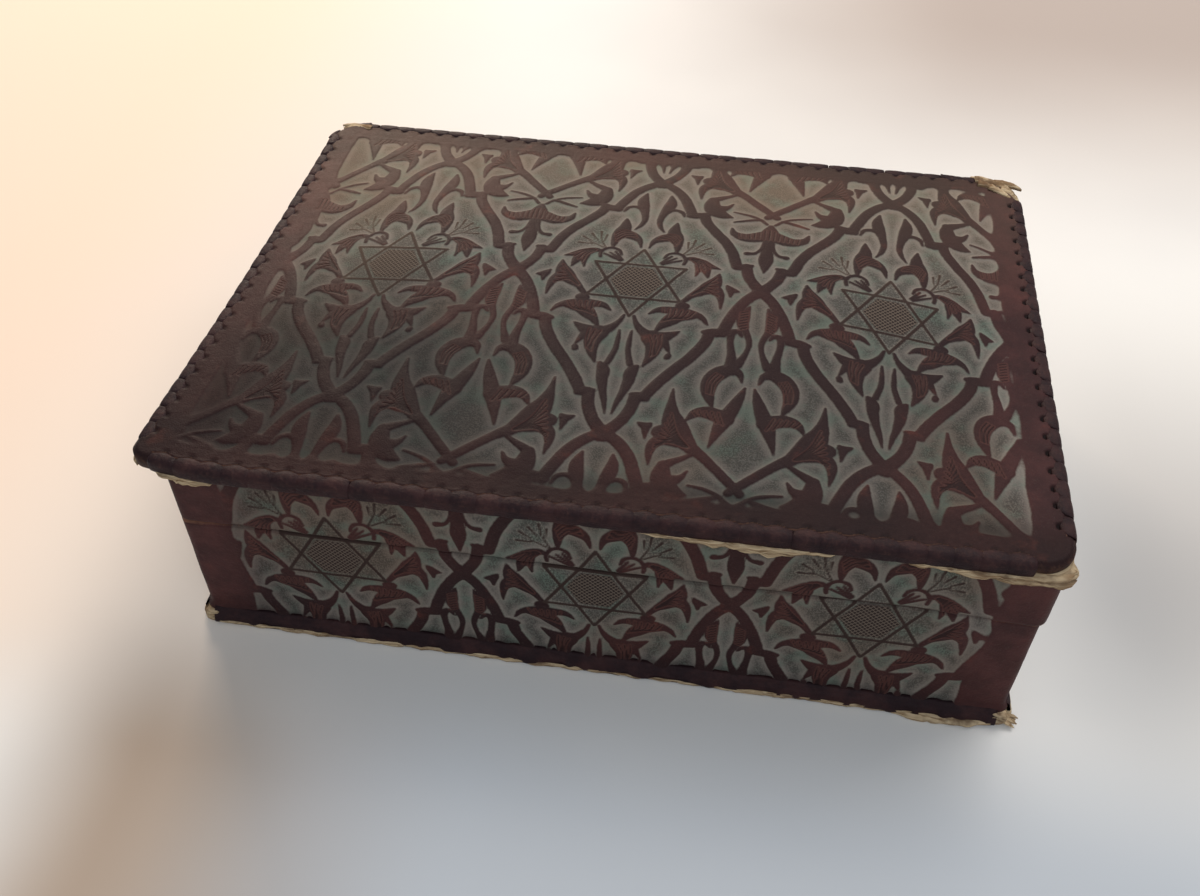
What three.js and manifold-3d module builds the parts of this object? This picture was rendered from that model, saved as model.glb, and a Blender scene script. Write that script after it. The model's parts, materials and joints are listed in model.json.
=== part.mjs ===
// Small hinged box of wood and board, covered outside with embossed leather.
// Millimetres. +Z is up, +X is to the right of someone facing the front, and the front faces -Y.
// The origin is on the table, under the middle of the box.
// Every size below is read from here by whatever fits to it.

import * as THREE from 'three';
import { mergeVertices } from 'three/addons/utils/BufferGeometryUtils.js';
import Module from 'manifold-3d';

// Overall sizes, measured over the leather band
const BODY_WIDTH = 248;
const BODY_DEPTH = 176;
const BAND_CORNER_RADIUS = 2.5;
const LID_OVERHANG = 3;
const BASE_OVERHANG = 4;

// Foot slab: underside cover, board, and a binding folded round its edge
const UNDERSIDE_COVER = 0.8;
const BASE_BOARD = 4.9;
const BINDING = 0.8;
const BINDING_REACH_UNDER = 6;
const BASE_CORNER_RADIUS = 5;
const BINDING_END_CLEAR = 8;

// Wooden walls and the leather round them
const WALL = 5;
const BASE_WALL_HEIGHT = 42.15;
const LID_WALL_HEIGHT = 22.65;
const SEAM_GAP = 0.3;
const BAND_LEATHER = 1.8;
const BAND_JOINT_GAP = 0.4;

// Lid slab: two boards, wadding and one crowned sheet of leather, laced round the edge
const LID_UNDER_BOARD = 1;
const LID_BOARD = 1.8;
const TOP_LEATHER = 1.6;
const TOP_BORDER = 11;
const CROWN_HEIGHT = 1.6;
const CROWN_RUN = 44;
const PADDING_GAP = 0.1;
const PADDING_EDGE = 0.4;

// Rounding of the lid slab's worn corners, and how much further the leather has worn back
const LID_CORNER_RADIUS = { frontLeft: 9, frontRight: 7, backRight: 5.5, backLeft: 5 };
const LEATHER_WEAR = 5;

// Lacing: a flat thong whipped over the slab edge
const THONG = 0.8;
const THONG_VALLEY = 0.35;
const THONG_REACH_OVER = 5.4;
const THONG_ROUNDING = 1;
const STITCH_PITCH = 6.8;
const LACING_END_CLEAR = { frontLeft: 15, frontRight: 12, backRight: 10, backLeft: 9 };

// Linings
const WALL_LINING = 0.8;
const FLOOR_LINING = 1.2;
const CEILING_LINING = 1.2;
const LINING_SETBACK = 2;

// Hinges: two small butt hinges let into the seam at the back
const HINGE_SPREAD = 140;
const LEAF_WIDTH = 24;
const LEAF_THICKNESS = 0.8;
const KNUCKLE_RADIUS = 1.7;
const MIDDLE_KNUCKLE = 8;
const PIN_RADIUS = 0.8;
const PIN_HEAD_RADIUS = 1.3;
const PIN_HEAD = 0.6;
const SCREW_HEAD_RADIUS = 1.5;
const SCREW_SHANK_RADIUS = 0.7;
const SCREW_LENGTH = 9;
const SCREW_POINT = 1.6;
const SCREW_END_MARGIN = 4.5;

// Clearances
const FIT = 0.3;
const PIN_FIT = 0.15;
const SCREW_FIT = 0.15;

// Number of straight steps in round shapes
const CORNER_STEPS = 5;
const ROUND_SIDES = 12;

// Heights of the stack, from the table up
const boardLow = UNDERSIDE_COVER;
const boardTop = boardLow + BASE_BOARD;
const footTop = boardTop + BINDING;
const baseRimZ = boardTop + BASE_WALL_HEIGHT;
const seamZ = baseRimZ + SEAM_GAP / 2;
const lidRimZ = baseRimZ + SEAM_GAP;
const lidWallTop = lidRimZ + LID_WALL_HEIGHT;
const lidBoardLow = lidWallTop + LID_UNDER_BOARD;
const lidBoardTop = lidBoardLow + LID_BOARD;
const leatherTop = lidBoardTop + TOP_LEATHER;
const slabLow = lidWallTop - THONG;
const slabTop = leatherTop + THONG;

// Plan sizes, as half widths and half depths
const half = (width, depth, inset = 0) => ({ x: width / 2 - inset, y: depth / 2 - inset });
const band = half(BODY_WIDTH, BODY_DEPTH);
const wallOuter = half(BODY_WIDTH, BODY_DEPTH, BAND_LEATHER);
const wallInner = half(BODY_WIDTH, BODY_DEPTH, BAND_LEATHER + WALL);
const liningInner = half(BODY_WIDTH, BODY_DEPTH, BAND_LEATHER + WALL + WALL_LINING);
const lidSlab = half(BODY_WIDTH, BODY_DEPTH, -LID_OVERHANG);
const baseSlab = half(BODY_WIDTH, BODY_DEPTH, -BASE_OVERHANG);

// Hinge axis: the knuckle stands just clear of the back of the band
const hingeY = band.y + FIT + KNUCKLE_RADIUS;
const screwY = (wallOuter.y + wallInner.y) / 2;

const materials = {
  leather: new THREE.MeshStandardMaterial({ color: 0x7d4a40, roughness: 0.62, metalness: 0 }),
  thong: new THREE.MeshStandardMaterial({ color: 0x63423a, roughness: 0.68, metalness: 0 }),
  board: new THREE.MeshStandardMaterial({ color: 0xb59468, roughness: 0.9, metalness: 0 }),
  wood: new THREE.MeshStandardMaterial({ color: 0x8f6a44, roughness: 0.7, metalness: 0 }),
  lining: new THREE.MeshStandardMaterial({ color: 0x8a7a52, roughness: 0.85, metalness: 0 }),
  paper: new THREE.MeshStandardMaterial({ color: 0x4b352c, roughness: 0.88, metalness: 0 }),
  wadding: new THREE.MeshStandardMaterial({ color: 0xd8cdb4, roughness: 0.95, metalness: 0 }),
  brass: new THREE.MeshStandardMaterial({ color: 0xa8843f, roughness: 0.42, metalness: 0.9 }),
};

const box = new THREE.Group();

function addPiece(name, geometry, material) {
  const mesh = new THREE.Mesh(geometry, material.clone());
  mesh.name = name;
  box.add(mesh);
}

// Boolean helpers

const wasm = await Module();
wasm.setup();

function toSolid(geometry) {
  const bare = geometry.clone();
  bare.deleteAttribute('normal');
  bare.deleteAttribute('uv');
  const merged = mergeVertices(bare);
  return new wasm.Manifold(new wasm.Mesh({
    numProp: 3,
    vertProperties: new Float32Array(merged.attributes.position.array),
    triVerts: new Uint32Array(merged.index.array),
  }));
}

function toGeometry(solid) {
  const mesh = solid.getMesh();
  const geometry = new THREE.BufferGeometry();
  const position = new THREE.BufferAttribute(new Float32Array(mesh.vertProperties), 3);
  geometry.setAttribute('position', position);
  geometry.setIndex(new THREE.BufferAttribute(new Uint32Array(mesh.triVerts), 1));
  geometry.computeVertexNormals();
  return geometry;
}

function cut(geometry, cutters) {
  let solid = toSolid(geometry);
  for (const cutter of cutters) {
    solid = solid.subtract(toSolid(cutter));
  }
  return toGeometry(solid);
}

function join(geometries) {
  const [first, ...rest] = geometries.map(toSolid);
  return rest.reduce((sum, next) => sum.add(next), first);
}

// Shape helpers

function block(lowX, highX, lowY, highY, lowZ, highZ) {
  const geometry = new THREE.BoxGeometry(highX - lowX, highY - lowY, highZ - lowZ);
  return geometry.translate((lowX + highX) / 2, (lowY + highY) / 2, (lowZ + highZ) / 2);
}

function roundBar(radius, lowX, highX, y, z) {
  const geometry = new THREE.CylinderGeometry(radius, radius, highX - lowX, ROUND_SIDES);
  return geometry.rotateZ(Math.PI / 2).translate((lowX + highX) / 2, y, z);
}

// Corners of a rectangle with rounded corners, anticlockwise from the front right
function roundedOutline(size, radii) {
  const corners = [
    { x: size.x, y: -size.y, radius: radii.frontRight, start: -Math.PI / 2 },
    { x: size.x, y: size.y, radius: radii.backRight, start: 0 },
    { x: -size.x, y: size.y, radius: radii.backLeft, start: Math.PI / 2 },
    { x: -size.x, y: -size.y, radius: radii.frontLeft, start: Math.PI },
  ];
  const points = [];
  for (const corner of corners) {
    const centreX = corner.x - Math.sign(corner.x) * corner.radius;
    const centreY = corner.y - Math.sign(corner.y) * corner.radius;
    for (let step = 0; step <= CORNER_STEPS; step += 1) {
      const angle = corner.start + (step / CORNER_STEPS) * (Math.PI / 2);
      const x = centreX + corner.radius * Math.cos(angle);
      const y = centreY + corner.radius * Math.sin(angle);
      points.push(new THREE.Vector2(x, y));
    }
  }
  return points;
}

const sameRadius = (radius) => ({
  frontLeft: radius, frontRight: radius, backRight: radius, backLeft: radius,
});

const grownRadii = (radii, change) => Object.fromEntries(
  Object.entries(radii).map(([corner, radius]) => [corner, Math.max(radius + change, 1)]),
);

// A flat sheet or board with rounded corners
function roundedPlate(size, radii, lowZ, highZ) {
  const shape = new THREE.Shape(roundedOutline(size, radii));
  const geometry = new THREE.ExtrudeGeometry(shape, { depth: highZ - lowZ, bevelEnabled: false });
  return geometry.translate(0, 0, lowZ);
}

// A closed skin over matching rings of points, capped at both ends with the outline's triangles
function loft(rings, outline) {
  const count = outline.length;
  const positions = rings.flat().flatMap((point) => [point.x, point.y, point.z]);
  const triangles = [];
  for (let ring = 0; ring < rings.length - 1; ring += 1) {
    for (let index = 0; index < count; index += 1) {
      const next = (index + 1) % count;
      const a = ring * count + index;
      const b = ring * count + next;
      triangles.push(a, b, b + count, a, b + count, a + count);
    }
  }
  const last = (rings.length - 1) * count;
  for (const [a, b, c] of THREE.ShapeUtils.triangulateShape(outline, [])) {
    triangles.push(a, c, b, last + a, last + b, last + c);
  }
  const geometry = new THREE.BufferGeometry();
  geometry.setAttribute('position', new THREE.Float32BufferAttribute(positions, 3));
  geometry.setIndex(triangles);
  geometry.computeVertexNormals();
  return geometry;
}

// Rings of a pillow shape: each level is an inset from the outline and a height
function ringAt(size, radii, inset, z) {
  const inner = { x: size.x - inset, y: size.y - inset };
  return roundedOutline(inner, grownRadii(radii, -inset))
    .map((point) => new THREE.Vector3(point.x, point.y, z));
}

// Height of the crown at a distance in from the slab's edge
function crown(inset) {
  const run = THREE.MathUtils.clamp((inset - TOP_BORDER) / CROWN_RUN, 0, 1);
  return CROWN_HEIGHT * (1 - (1 - run) ** 2);
}

// The four sides: outward direction, direction along the side, and the corners at its two ends
const sides = [
  { name: 'front', out: [0, -1], along: [1, 0], from: 'frontLeft', to: 'frontRight' },
  { name: 'right', out: [1, 0], along: [0, 1], from: 'frontRight', to: 'backRight' },
  { name: 'back', out: [0, 1], along: [-1, 0], from: 'backRight', to: 'backLeft' },
  { name: 'left', out: [-1, 0], along: [0, -1], from: 'backLeft', to: 'frontLeft' },
];

// A strip folded over a slab's edge. Its section is drawn as distance past the slab's outer
// face and height, and each station along the strip says how far its outer face is drawn in.
function edgeStrip(side, size, section, stations) {
  const runsAlongX = side.along[0] !== 0;
  const reach = runsAlongX ? size.y : size.x;
  const halfLength = runsAlongX ? size.x : size.y;
  const place = (point, distance) => new THREE.Vector3(
    side.out[0] * (reach + point.x) + side.along[0] * distance,
    side.out[1] * (reach + point.x) + side.along[1] * distance,
    point.y,
  );
  const rings = stations(halfLength).map(({ distance, drawn }) => (
    section(drawn).map((point) => place(point, distance))
  ));
  return loft(rings.reverse(), section(0));
}

// Section of a strip of one thickness, folded round an edge from lowZ to highZ
function foldedSection(lowZ, highZ, thickness, reachUnder, reachOver, rounding) {
  return (drawn) => [
    [-reachUnder, lowZ + drawn],
    [-rounding, lowZ + drawn],
    [-drawn, lowZ + rounding],
    [-drawn, highZ - rounding],
    [-rounding, highZ - drawn],
    [-reachOver, highZ - drawn],
    [-reachOver, highZ - thickness],
    [-thickness, highZ - thickness],
    [-thickness, lowZ + thickness],
    [-reachUnder, lowZ + thickness],
  ].map(([x, y]) => new THREE.Vector2(x, y));
}

// Foot slab

function addFootSlab() {
  const coverInset = BINDING_REACH_UNDER + FIT;
  const cover = { x: baseSlab.x - coverInset, y: baseSlab.y - coverInset };
  addPiece(
    'underside_cover',
    block(-cover.x, cover.x, -cover.y, cover.y, 0, UNDERSIDE_COVER),
    materials.paper,
  );
  const board = { x: baseSlab.x - BINDING, y: baseSlab.y - BINDING };
  addPiece(
    'base_board',
    roundedPlate(board, sameRadius(BASE_CORNER_RADIUS), boardLow, boardTop),
    materials.board,
  );
  const section = foldedSection(
    0, footTop, BINDING, BINDING_REACH_UNDER, BASE_OVERHANG - FIT, THONG_ROUNDING,
  );
  const stations = (halfLength) => [
    { distance: -halfLength + BINDING_END_CLEAR, drawn: 0 },
    { distance: halfLength - BINDING_END_CLEAR, drawn: 0 },
  ];
  for (const side of sides) {
    addPiece(
      `base_binding_${side.name}`,
      edgeStrip(side, baseSlab, section, stations),
      materials.thong,
    );
  }
}

// Hinge parts, drawn about a hinge whose middle is at x = 0

function leafRecess(lowZ, highZ) {
  const reach = LEAF_WIDTH / 2 + FIT;
  return block(-reach, reach, wallInner.y - FIT, band.y + FIT, lowZ, highZ);
}

// A countersunk wood screw, its head flush at headZ; direction -1 points down and +1 points up
function screwShape(headZ, direction, clearance) {
  const neck = LEAF_THICKNESS;
  const tip = SCREW_LENGTH + clearance;
  const head = SCREW_HEAD_RADIUS + clearance;
  const shank = SCREW_SHANK_RADIUS + clearance;
  const profile = [
    [0, 0],
    [head, 0],
    [shank, neck],
    [shank, tip - SCREW_POINT],
    [0, tip],
  ].map(([radius, depth]) => new THREE.Vector2(radius, -depth));
  const geometry = new THREE.LatheGeometry(profile.reverse(), ROUND_SIDES);
  geometry.rotateX(Math.PI / 2);
  if (direction > 0) {
    geometry.rotateX(Math.PI);
  }
  return geometry.translate(0, screwY, headZ);
}

const screwReach = LEAF_WIDTH / 2 - SCREW_END_MARGIN;
const screwPlaces = [-screwReach, screwReach];
const hingePlaces = [
  { name: 'left', x: -HINGE_SPREAD / 2 },
  { name: 'right', x: HINGE_SPREAD / 2 },
];

// What both hinges take out of the back wall and band on one side of the seam
function hingeCutters(direction) {
  const cutters = [];
  const rim = direction < 0 ? baseRimZ : lidRimZ;
  const floor = rim + direction * LEAF_THICKNESS;
  const open = rim - direction * FIT;
  for (const place of hingePlaces) {
    const recess = leafRecess(Math.min(floor, open), Math.max(floor, open));
    cutters.push(recess.translate(place.x, 0, 0));
    for (const x of screwPlaces) {
      cutters.push(screwShape(rim, direction, SCREW_FIT).translate(place.x + x, 0, 0));
    }
  }
  return cutters;
}

// Spans of a leaf's knuckles along X, and of the other leaf's: the lower leaf has the outer two
function knuckleSpans(direction) {
  const end = LEAF_WIDTH / 2;
  const near = (MIDDLE_KNUCKLE + FIT) / 2;
  const far = (MIDDLE_KNUCKLE - FIT) / 2;
  const outer = [[-end, -near], [near, end]];
  const inner = [[-far, far]];
  return direction < 0 ? { own: outer, other: inner } : { own: inner, other: outer };
}

// A plate let into the rim, with its knuckles, cut clear of the other leaf, the pin and the screws
function hingeLeaf(direction) {
  const rim = direction < 0 ? baseRimZ : lidRimZ;
  const floor = rim + direction * LEAF_THICKNESS;
  const end = LEAF_WIDTH / 2;
  const reach = KNUCKLE_RADIUS + FIT;
  const { own, other } = knuckleSpans(direction);
  const plate = block(
    -end, end, wallInner.y, hingeY, Math.min(rim, floor), Math.max(rim, floor),
  );
  const knuckles = own.map(([low, high]) => roundBar(KNUCKLE_RADIUS, low, high, hingeY, seamZ));
  const away = other.map(([low, high]) => block(
    low - FIT, high + FIT, hingeY - reach, hingeY + reach, seamZ - reach, seamZ + reach,
  ));
  away.push(roundBar(PIN_RADIUS + PIN_FIT, -LEAF_WIDTH, LEAF_WIDTH, hingeY, seamZ));
  for (const x of screwPlaces) {
    away.push(screwShape(rim, direction, SCREW_FIT).translate(x, 0, 0));
  }
  return cut(toGeometry(join([plate, ...knuckles])), away);
}

// A pin with a small riveted head at each end
function hingePin() {
  const bodyEnd = LEAF_WIDTH / 2 + PIN_FIT;
  const end = bodyEnd + PIN_HEAD;
  const profile = [
    [0, -end],
    [PIN_RADIUS, -end],
    [PIN_HEAD_RADIUS, -bodyEnd - PIN_HEAD / 2],
    [PIN_HEAD_RADIUS, -bodyEnd],
    [PIN_RADIUS, -bodyEnd],
    [PIN_RADIUS, bodyEnd],
    [PIN_HEAD_RADIUS, bodyEnd],
    [PIN_HEAD_RADIUS, bodyEnd + PIN_HEAD / 2],
    [PIN_RADIUS, end],
    [0, end],
  ].map(([radius, height]) => new THREE.Vector2(radius, height));
  const geometry = new THREE.LatheGeometry(profile, ROUND_SIDES);
  return geometry.rotateZ(-Math.PI / 2).translate(0, hingeY, seamZ);
}

function addHinges() {
  for (const place of hingePlaces) {
    const prefix = `hinge_${place.name}`;
    addPiece(`${prefix}_lower_leaf`, hingeLeaf(-1).translate(place.x, 0, 0), materials.brass);
    addPiece(`${prefix}_upper_leaf`, hingeLeaf(1).translate(place.x, 0, 0), materials.brass);
    addPiece(`${prefix}_pin`, hingePin().translate(place.x, 0, 0), materials.brass);
    screwPlaces.forEach((x, index) => {
      const lower = screwShape(baseRimZ, -1, 0).translate(place.x + x, 0, 0);
      const upper = screwShape(lidRimZ, 1, 0).translate(place.x + x, 0, 0);
      addPiece(`${prefix}_lower_screw_${index + 1}`, lower, materials.brass);
      addPiece(`${prefix}_upper_screw_${index + 1}`, upper, materials.brass);
    });
  }
}

// Walls: the front and back run the full width, and the sides stand between them
function addWalls(owner, lowZ, highZ, direction) {
  const { x, y } = wallOuter;
  const cutters = hingeCutters(direction);
  const wall = (name, geometry) => addPiece(`${owner}_${name}_wall`, geometry, materials.wood);
  wall('front', block(-x, x, -y, -wallInner.y, lowZ, highZ));
  wall('back', cut(block(-x, x, wallInner.y, y, lowZ, highZ), cutters));
  wall('left', block(-x, -wallInner.x, -wallInner.y, wallInner.y, lowZ, highZ));
  wall('right', block(wallInner.x, x, -wallInner.y, wallInner.y, lowZ, highZ));
}

// One strip of leather right round the walls, its ends butted at the middle of the back
function addLeatherBand(owner, lowZ, highZ, direction) {
  const shape = new THREE.Shape(roundedOutline(band, sameRadius(BAND_CORNER_RADIUS)));
  const { x, y } = wallOuter;
  const inside = [[-x, -y], [-x, y], [x, y], [x, -y]].map(([px, py]) => new THREE.Vector2(px, py));
  shape.holes.push(new THREE.Path(inside));
  const ring = new THREE.ExtrudeGeometry(shape, { depth: highZ - lowZ, bevelEnabled: false });
  ring.translate(0, 0, lowZ);
  const slit = BAND_JOINT_GAP / 2;
  const joint = block(-slit, slit, y - FIT, band.y + FIT, lowZ - FIT, highZ + FIT);
  const geometry = cut(ring, [joint, ...hingeCutters(direction)]);
  addPiece(`${owner}_leather_band`, geometry, materials.leather);
}

function addWallLinings(owner, lowZ, highZ) {
  const { x, y } = wallInner;
  const inner = liningInner;
  const lining = (name, geometry) => (
    addPiece(`${owner}_${name}_lining`, geometry, materials.lining)
  );
  lining('front', block(-x, x, -y, -inner.y, lowZ, highZ));
  lining('back', block(-x, x, inner.y, y, lowZ, highZ));
  lining('left', block(-x, -inner.x, -inner.y, inner.y, lowZ, highZ));
  lining('right', block(inner.x, x, -inner.y, inner.y, lowZ, highZ));
}

// A flat lining inside the wall linings, with a little room all round
function flatLining(lowZ, highZ) {
  const x = liningInner.x - FIT;
  const y = liningInner.y - FIT;
  return block(-x, x, -y, y, lowZ, highZ);
}

function addBase() {
  addFootSlab();
  addWalls('base', boardTop, baseRimZ, -1);
  addLeatherBand('base', boardTop, baseRimZ, -1);
  addWallLinings('base', boardTop, baseRimZ - LINING_SETBACK);
  addPiece('base_floor_lining', flatLining(boardTop, boardTop + FLOOR_LINING), materials.lining);
}

// Lid slab

function addLidBoards() {
  const board = { x: lidSlab.x - THONG, y: lidSlab.y - THONG };
  addPiece(
    'lid_under_board',
    roundedPlate(board, LID_CORNER_RADIUS, lidWallTop, lidBoardLow),
    materials.board,
  );
  addPiece(
    'lid_board',
    roundedPlate(board, LID_CORNER_RADIUS, lidBoardLow, lidBoardTop),
    materials.board,
  );
}

// The leather lies flat on the board at the border and rises over the wadding
function addLidLeather() {
  const size = { x: lidSlab.x - THONG, y: lidSlab.y - THONG };
  const radii = grownRadii(LID_CORNER_RADIUS, LEATHER_WEAR);
  const rises = [0, 0.08, 0.2, 0.4, 0.65, 1].map((share) => TOP_BORDER + share * CROWN_RUN);
  const levels = [0, ...rises];
  const under = [...levels].reverse().map((inset) => (
    ringAt(size, radii, inset, lidBoardTop + crown(inset))
  ));
  const over = levels.map((inset) => ringAt(size, radii, inset, leatherTop + crown(inset)));
  const outline = roundedOutline(size, radii);
  addPiece('lid_top_leather', loft([...under, ...over], outline), materials.leather);

  const thickEnough = rises.filter((inset) => crown(inset) > PADDING_EDGE + PADDING_GAP);
  const padding = thickEnough.map((inset) => (
    ringAt(size, radii, inset, lidBoardTop + crown(inset) - PADDING_GAP)
  ));
  const foot = ringAt(size, radii, thickEnough[0], lidBoardTop);
  addPiece('lid_padding', loft([foot, ...padding], outline), materials.wadding);
}

// Lacing: the thong crosses the edge once for each stitch, and dips between the stitches
function addLidLacing() {
  const section = foldedSection(
    slabLow, slabTop, THONG, LID_OVERHANG - FIT, THONG_REACH_OVER, THONG_ROUNDING,
  );
  for (const side of sides) {
    const stations = (halfLength) => {
      const start = -halfLength + LACING_END_CLEAR[side.from];
      const end = halfLength - LACING_END_CLEAR[side.to];
      const stitches = Math.max(1, Math.round((end - start) / STITCH_PITCH));
      const steps = 2 * stitches;
      return Array.from({ length: steps + 1 }, (_, step) => ({
        distance: start + ((end - start) * step) / steps,
        drawn: step % 2 === 0 ? THONG_VALLEY : 0,
      }));
    };
    addPiece(
      `lid_lacing_${side.name}`,
      edgeStrip(side, lidSlab, section, stations),
      materials.thong,
    );
  }
}

function addLid() {
  addWalls('lid', lidRimZ, lidWallTop, 1);
  addLeatherBand('lid', lidRimZ, lidWallTop, 1);
  addWallLinings('lid', lidRimZ + LINING_SETBACK, lidWallTop - CEILING_LINING - FIT);
  addPiece(
    'lid_ceiling_lining',
    flatLining(lidWallTop - CEILING_LINING, lidWallTop),
    materials.lining,
  );
  addLidBoards();
  addLidLeather();
  addLidLacing();
}

addBase();
addLid();
addHinges();

export default box;
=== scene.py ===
import json
import math
import bpy
import numpy as np
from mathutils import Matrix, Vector


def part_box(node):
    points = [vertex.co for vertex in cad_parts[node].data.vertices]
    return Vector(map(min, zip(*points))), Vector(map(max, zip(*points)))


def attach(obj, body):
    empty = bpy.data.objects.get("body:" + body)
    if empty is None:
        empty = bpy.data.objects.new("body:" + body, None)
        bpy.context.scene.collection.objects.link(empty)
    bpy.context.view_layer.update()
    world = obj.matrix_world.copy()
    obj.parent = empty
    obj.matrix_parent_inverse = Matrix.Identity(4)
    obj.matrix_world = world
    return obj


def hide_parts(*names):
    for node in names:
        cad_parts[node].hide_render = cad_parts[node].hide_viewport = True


# A small hinged box of wood and board, covered outside with embossed leather.
# The scene is in metres. Sizes here are in millimetres, and MM turns them into metres.
# The front of the box faces -Y, and +X is to the right of someone facing it.

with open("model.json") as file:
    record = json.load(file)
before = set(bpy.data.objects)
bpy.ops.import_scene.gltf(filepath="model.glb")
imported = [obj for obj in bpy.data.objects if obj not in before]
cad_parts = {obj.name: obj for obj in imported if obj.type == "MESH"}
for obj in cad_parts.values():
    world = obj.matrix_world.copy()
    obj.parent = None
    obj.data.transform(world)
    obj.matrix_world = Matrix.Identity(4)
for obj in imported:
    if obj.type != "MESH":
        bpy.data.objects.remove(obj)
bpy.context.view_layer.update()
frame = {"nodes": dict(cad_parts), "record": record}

MM = 0.001
SEED = 7


def node_box(node):
    """Lowest and highest corner of a node at rest, in millimetres."""
    low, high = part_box(node)
    return np.array(low) / MM, np.array(high) / MM


# Camera, at the photograph's angle. Its place, turn and lens are rounded results of a least-squares fit to
# points of the box that were read off the photograph.

CAMERA_PLACE = (31.11, -298.15, 314.10)
CAMERA_TURN = (44.3907, -0.4907, 8.6506)
CAMERA_LENS = 35.81
SENSOR_WIDTH = 36


def add_camera():
    """Turned by degrees about X, Y and Z from looking straight down."""
    data = bpy.data.cameras.new("camera")
    data.lens = CAMERA_LENS
    data.sensor_width = SENSOR_WIDTH
    data.sensor_fit = "HORIZONTAL"
    data.clip_start = 0.01
    camera = bpy.data.objects.new("camera", data)
    bpy.context.scene.collection.objects.link(camera)
    camera.location = Vector(CAMERA_PLACE) * MM
    camera.rotation_euler = [math.radians(angle) for angle in CAMERA_TURN]
    bpy.context.scene.camera = camera


# Node materials

def tone(red, green, blue):
    """A colour given as it shows on screen, from 0 to 255, as linear values."""
    def linear(value):
        share = value / 255
        return share / 12.92 if share <= 0.04045 else ((share + 0.055) / 1.055) ** 2.4
    return (linear(red), linear(green), linear(blue), 1.0)


class Paint:
    """A material, with short calls that add nodes to it. Texture places are in millimetres."""

    def __init__(self, name, specular=0.5):
        self.material = bpy.data.materials.new(name)
        self.material.use_nodes = True
        self.tree = self.material.node_tree
        self.shader = self.tree.nodes["Principled BSDF"]
        self.shader.inputs["Specular IOR Level"].default_value = specular
        self.place = self.add("ShaderNodeTexCoord").outputs["Object"]

    def add(self, kind, inputs=None, **settings):
        node = self.tree.nodes.new(kind)
        for key, value in settings.items():
            setattr(node, key, value)
        for key, value in (inputs or {}).items():
            self.feed(node.inputs[key], value)
        return node

    def feed(self, socket, value):
        if isinstance(value, bpy.types.NodeSocket):
            self.tree.links.new(value, socket)
        else:
            socket.default_value = value

    def attribute(self, name):
        return self.add("ShaderNodeAttribute", attribute_name=name).outputs["Fac"]

    def vector(self, name):
        return self.add("ShaderNodeAttribute", attribute_name=name).outputs["Vector"]

    def math(self, operation, first, second=0.0):
        return self.add("ShaderNodeMath", {0: first, 1: second}, operation=operation).outputs[0]

    def times(self, first, second):
        return self.math("MULTIPLY", first, second)

    def plus(self, first, second):
        return self.math("ADD", first, second)

    def around_zero(self, noise, size):
        return self.times(self.math("SUBTRACT", noise, 0.5), size)

    def step(self, value, low, high, start=0.0, end=1.0):
        inputs = {"Value": value, "From Min": low, "From Max": high, "To Min": start, "To Max": end}
        node = self.add("ShaderNodeMapRange", inputs, interpolation_type="SMOOTHSTEP")
        return node.outputs["Result"]

    def spot(self, stretch=(1, 1, 1)):
        scale = tuple(value / MM for value in stretch)
        return self.add("ShaderNodeMapping", {"Vector": self.place, "Scale": scale}).outputs["Vector"]

    def noise(self, scale, detail=2.0, stretch=(1, 1, 1), roughness=0.5, warp=0.0):
        inputs = {
            "Vector": self.spot(stretch), "Scale": scale, "Detail": detail,
            "Roughness": roughness, "Distortion": warp,
        }
        return self.add("ShaderNodeTexNoise", inputs).outputs["Fac"]

    def cells(self, scale):
        return self.add("ShaderNodeTexVoronoi", {"Vector": self.spot(), "Scale": scale}).outputs["Distance"]

    def mix(self, factor, first, second):
        node = self.add("ShaderNodeMix", data_type="RGBA")
        self.feed(node.inputs["Factor"], factor)
        self.feed(node.inputs[6], first)
        self.feed(node.inputs[7], second)
        return node.outputs[2]

    def coat(self, under, color, mask, low, high, most):
        """A colour laid over another where a mask lies between low and high, up to a share."""
        return self.mix(self.step(mask, low, high, 0, most), under, color)

    def done(self, color, rough, height, distance, strength):
        """Sets colour, roughness and bump, whose depth is in millimetres."""
        self.feed(self.shader.inputs["Base Color"], color)
        self.feed(self.shader.inputs["Roughness"], rough)
        inputs = {"Height": height, "Distance": distance * MM, "Strength": strength}
        bump = self.add("ShaderNodeBump", inputs).outputs["Normal"]
        self.feed(self.shader.inputs["Normal"], bump)
        return self.material


OXBLOOD = tone(65, 38, 36)
OXBLOOD_DARK = tone(42, 27, 28)
OXBLOOD_RUBBED = tone(100, 54, 45)
GROUND_PALE = tone(132, 125, 116)
GROUND = tone(111, 104, 98)
GROUND_GREEN = tone(88, 105, 94)
GROUND_BROWN = tone(102, 86, 72)
GROUND_DARK = tone(54, 51, 47)
GROUND_OPEN = tone(84, 84, 79)
# The next colour is painted shade for the ground.
GROUND_SHADED = tone(56, 58, 57)
HATCH_FIELD = tone(44, 33, 32)
HATCH_RIDGE = tone(112, 100, 89)
STAR_DARK = tone(50, 36, 33)
TOOLED_DARK = tone(34, 22, 23)
RIB_LIGHT = tone(102, 66, 58)
FLUSHED = tone(90, 54, 52)
SCUFFED = tone(124, 88, 70)
# The next three colours are painted light: a painted sheen, a painted shade, and painted shade inside the
# lacing holes.
SHEEN_TONE = tone(158, 134, 110)
SHADE_DARK = tone(24, 16, 16)
HOLE_SHADE = tone(16, 10, 10)
BUFF = tone(190, 168, 136)
BUFF_DARK = tone(124, 98, 70)


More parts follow.
